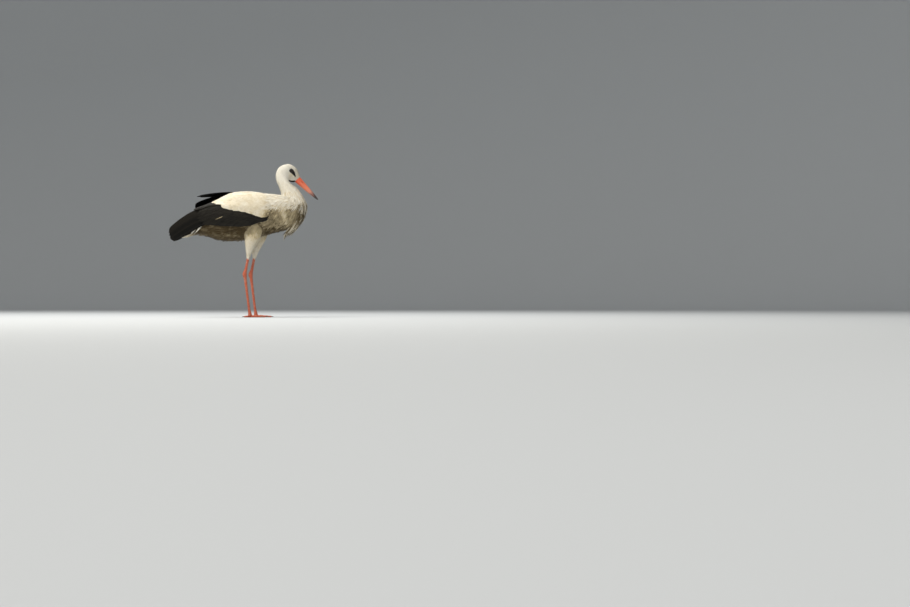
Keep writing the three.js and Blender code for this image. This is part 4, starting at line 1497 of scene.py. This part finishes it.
def make_wing(letter, wing, white, black):
    """The folded wing's feathers, from the ones that lie lowest to the ones on top."""
    side = SIDES[letter]
    seed = 40 + side
    rng = np.random.default_rng(seed)
    # Primaries: long blades one above another, the upper ones longest.
    sheet = sheet_surface(PRIMARY_SHEET)
    count = 10
    order = np.arange(count) / (count - 1)
    roots = 0.02 + 0.06 * order, 0.12 + 0.78 * order
    end = np.interp(order, [0, 0.3, 0.6, 0.8, 1], [0.965, 0.99, 1.0, 0.995, 0.93])
    end = end + 0.008 * (-1) ** np.arange(count)
    black_coat(f"primary_feathers_{letter}", sheet, roots, QUILL,
               (run_to(sheet, *roots, end), 13.5), side, black, seed + 1,
               [f"primaries_{letter}"], turn=-0.02, sink=4 - 2 * order, rise=3 * order,
               camber=0.05, thick=0.9, twist=0.10)
    # Secondaries: tips in a row along the lower edge.
    count = 24
    order = np.arange(count) / (count - 1)
    tips = 84 - 316 * order
    length = np.interp(order, [0, 0.3, 1], [60, 116, 150])
    half = np.interp(order, [0, 0.2, 1], [7, 12, 15])
    roots = wing_share(tips + length * 0.98), np.full(count, 0.68)
    end = np.interp(order, [0, 0.15, 0.35], [0.90, 0.97, 1.0])
    black_coat(f"secondary_feathers_{letter}", wing, roots, SECONDARY, (length, half), side, black,
               seed + 2, [f"secondaries_{letter}"], bloom=0.5,
               turn=turn_for(wing, *roots, length, end), sink=5, rise=0.5, camber=0.06,
               thick=0.7, twist=0.05)
    if side == RIGHT:
        root = wing_share(np.array([-108.0])), np.array([0.80])
        tones = {"tone": np.array([0.5]), "stain_and_shade": np.array([0.5])}
        white_coat("stray_feather_r", wing, root, LONG_POINTED, 43, 1.6, rng, white, tones=tones,
                   side=side, turn=-0.5, sink=0, rise=3)
    # Greater coverts in rows over them.
    s_run = (wing_share(140), wing_share(-150), 32)
    s, a = row_roots(s_run, (0.55, 0.78, 5), rng, 0.12)
    upper = np.linspace(-110, -150, 6)  # a short row that closes the way in under the tertials
    s, a = np.append(s, wing_share(upper)), np.append(a, np.full(6, 0.475))
    length, half = (np.interp(wing_x(s), [-150, 0, 140], table)
                    for table in ([96, 80, 40], [9.5, 8.5, 4]))
    end = np.where(a < 0.5, 0.47, np.minimum(a + 0.16, 0.93))
    black_coat(f"greater_coverts_{letter}", wing, (s, a), SECONDARY, (length, half), side,
               black, seed + 3, [], bloom=0.3,
               turn=turn_for(wing, s, a, length, end) + rng.normal(0, 0.03, len(s)),
               sink=5, rise=0.2, camber=0.06, thick=0.4)
    # Tertials: broad, over the rear.
    if side == LEFT:
        # Painted shade: the lifted far-side feathers are painted darker than the other black ones.
        lifted = {"tone": (0, 0.25), "sink": 2, "rise": 1, "camber": 0.05}
        fan("lifted_tertial_feathers_l", LIFTED_SHEET, 7, 0.1, (0.08, 0.8), [212, 176], 14,
            black, seed + 4, "lifted_tertials_l", side, **lifted)
        fan("lifted_quills_l", SPIKE_SHEET, 3, 0.06, (0.25, 0.5), [196, 204, 180], 9,
            black, seed + 5, "lifted_feather_l", side, **lifted)
    fan(f"tertial_feathers_{letter}", TERTIAL_SHEET, 8, 0.06, (0.06, 0.86), [172, 150], 15,
        black, seed + 6, f"tertials_{letter}", side, bloom=0.2, sink=3, rise=1.5, camber=0.06)
    shoulder_coat(letter, wing, white, seed + 9)
    for name, node, low, high, step in (("covert", "wing_coverts", 0.30, 0.60, 7),
                                        ("scapular", "scapulars", 0.0, 0.30, 8)):
        white_wing(f"{name}_feathers_{letter}", wing, side, white, seed + step, low, high,
                   [f"{node}_{letter}"])


def kept_stain_and_shade(share):
    """What leaves the feathers this share of their dirt and painted shade."""
    def soil_and_shade(tones):
        tones["stain_and_shade"] *= share
    return soil_and_shade


def make_tail(white):
    """Twelve tail feathers in a flat fan, coverts over and under them."""
    rng = np.random.default_rng(70)
    sheet = sheet_surface(TAIL_SHEET)
    across = (np.arange(12) + 0.5) / 12
    white_coat("tail_feathers", sheet, (np.full(12, 0.05), across), QUILL,
               150 - 14 * np.abs(across - 0.5), 11, rng, white, kept_stain_and_shade(0.35), nodes=["tail"],
               sink=2, rise=1, camber=0.04, thick=0.9, ragged=0.04,
               twist=0.06 * np.sign(across - 0.5))
    vent = sheet_surface(VENT_SHEET)
    # Each vent feather's dirt and painted shade; the darker ones lie lower.
    vent_stain_and_shade = np.array([0.9, 0, 0, 0.9, 0.95, 0, 0.95, 0.95, 0.95])
    order = np.arange(9) / 8
    roots = 0.04 + 0.05 * (np.arange(9) % 2), 0.04 + 0.92 * order
    for letter, side in SIDES.items():
        white_coat(f"vent_feathers_{letter}", vent, roots, LONG_POINTED,
                   run_to(vent, *roots, np.full(9, 0.98)), 5.0, rng, white,
                   tones={"tone": 1 - vent_stain_and_shade, "stain_and_shade": vent_stain_and_shade}, side=side, sink=2,
                   rise=0.5 - 1.5 * vent_stain_and_shade, turn=rng.normal(0, 0.04, 9),
                   curl=rng.normal(0, 1, 9))
    for name, stations, keep, reach in (("tail_coverts", UPPER_TAIL_SHEET, 0.25, 0.38),
                                        ("under_tail_coverts", UNDER_TAIL_SHEET, 1.0, 0.5)):
        sheet = sheet_surface(stations)
        s, a = sheet.shares()
        grows = (s < 0.66) & (np.abs(a - 0.5) < reach)
        s, a, count = spread_roots(sheet, grows, 52.0, rng)
        soil_and_shade = kept_stain_and_shade(keep * (1 - 0.75 * blend_in(s, 0.35, 0.6)))
        white_coat(name, sheet, (s, a), LONG_POINTED, rng.uniform(56, 84, count), 5, rng, white,
                   soil_and_shade, sink=4, rise=rng.uniform(-1, 3, count),
                   turn=rng.normal(0, 0.08, count), curl=rng.normal(0, 2, count))


def make_bird():
    """Every piece of the bird."""
    head = 0.26  # the share of the body's run where the skin's rows stand close together
    rows = np.concatenate([np.linspace(0, head, 120)[:-1], np.linspace(head, 1, 140)])
    body = body_surface(rows, 168)
    even = body_surface(np.linspace(0, 1, 400), 160)
    coarse = body_surface(np.linspace(0, 1, 90), 72)
    wing = wing_surface(160, 80)
    white, black = white_feather_finish(), black_feather_finish()
    make_skin(body, wing, skin_finish())
    horn = bill_finish()
    bill_half("upper_mandible", 1, horn, "bill_upper")
    bill_half("lower_mandible", -1, horn, "bill_lower")
    wet, nail, scales = eye_finish(), claw_finish(), scale_finish()
    for letter, side in SIDES.items():
        eye = ball(f"eyeball_{letter}", side, EYE_RADIUS - 0.2, 60, 96, 0.7)
        attach(eye, "eye", wet, f"eye_{letter}")
        for toe in TOES:
            make_claw(f"nail_{toe}_{letter}", toe, side, LEG_SHIFT[letter], nail,
                      f"claw_{toe}_{letter}")
        thigh_coat(f"thigh_feathers_{letter}", coarse, side, LEG_SHIFT[letter], white,
                   30 + side)
        make_wing(letter, wing, white, black)
        leg_scales(letter, scales, 60 + side)
    body_coat("head_feathers", even, 0.0, 4.2, TINY, white, 11, None, 0.4)
    body_coat("neck_feathers", even, 4.2, 7.4, POINTED, white, 12, None, 0.7)
    collar_coat(even, white, 17)
    mantle_coat(white, 18)
    body_coat("breast_feathers", even, 7.4, 10.8, POINTED, white, 13)
    body_coat("trunk_feathers", even, 10.8, 15.2, POINTED, white, 14, clear_of_wings, 1.4)
    body_coat("rump_feathers", even, 15.2, 17.9, POINTED, white, 15, None, 1.4)
    hackle_coat(white, 16)
    make_tail(white)


make_camera()
make_stage()
make_bird()
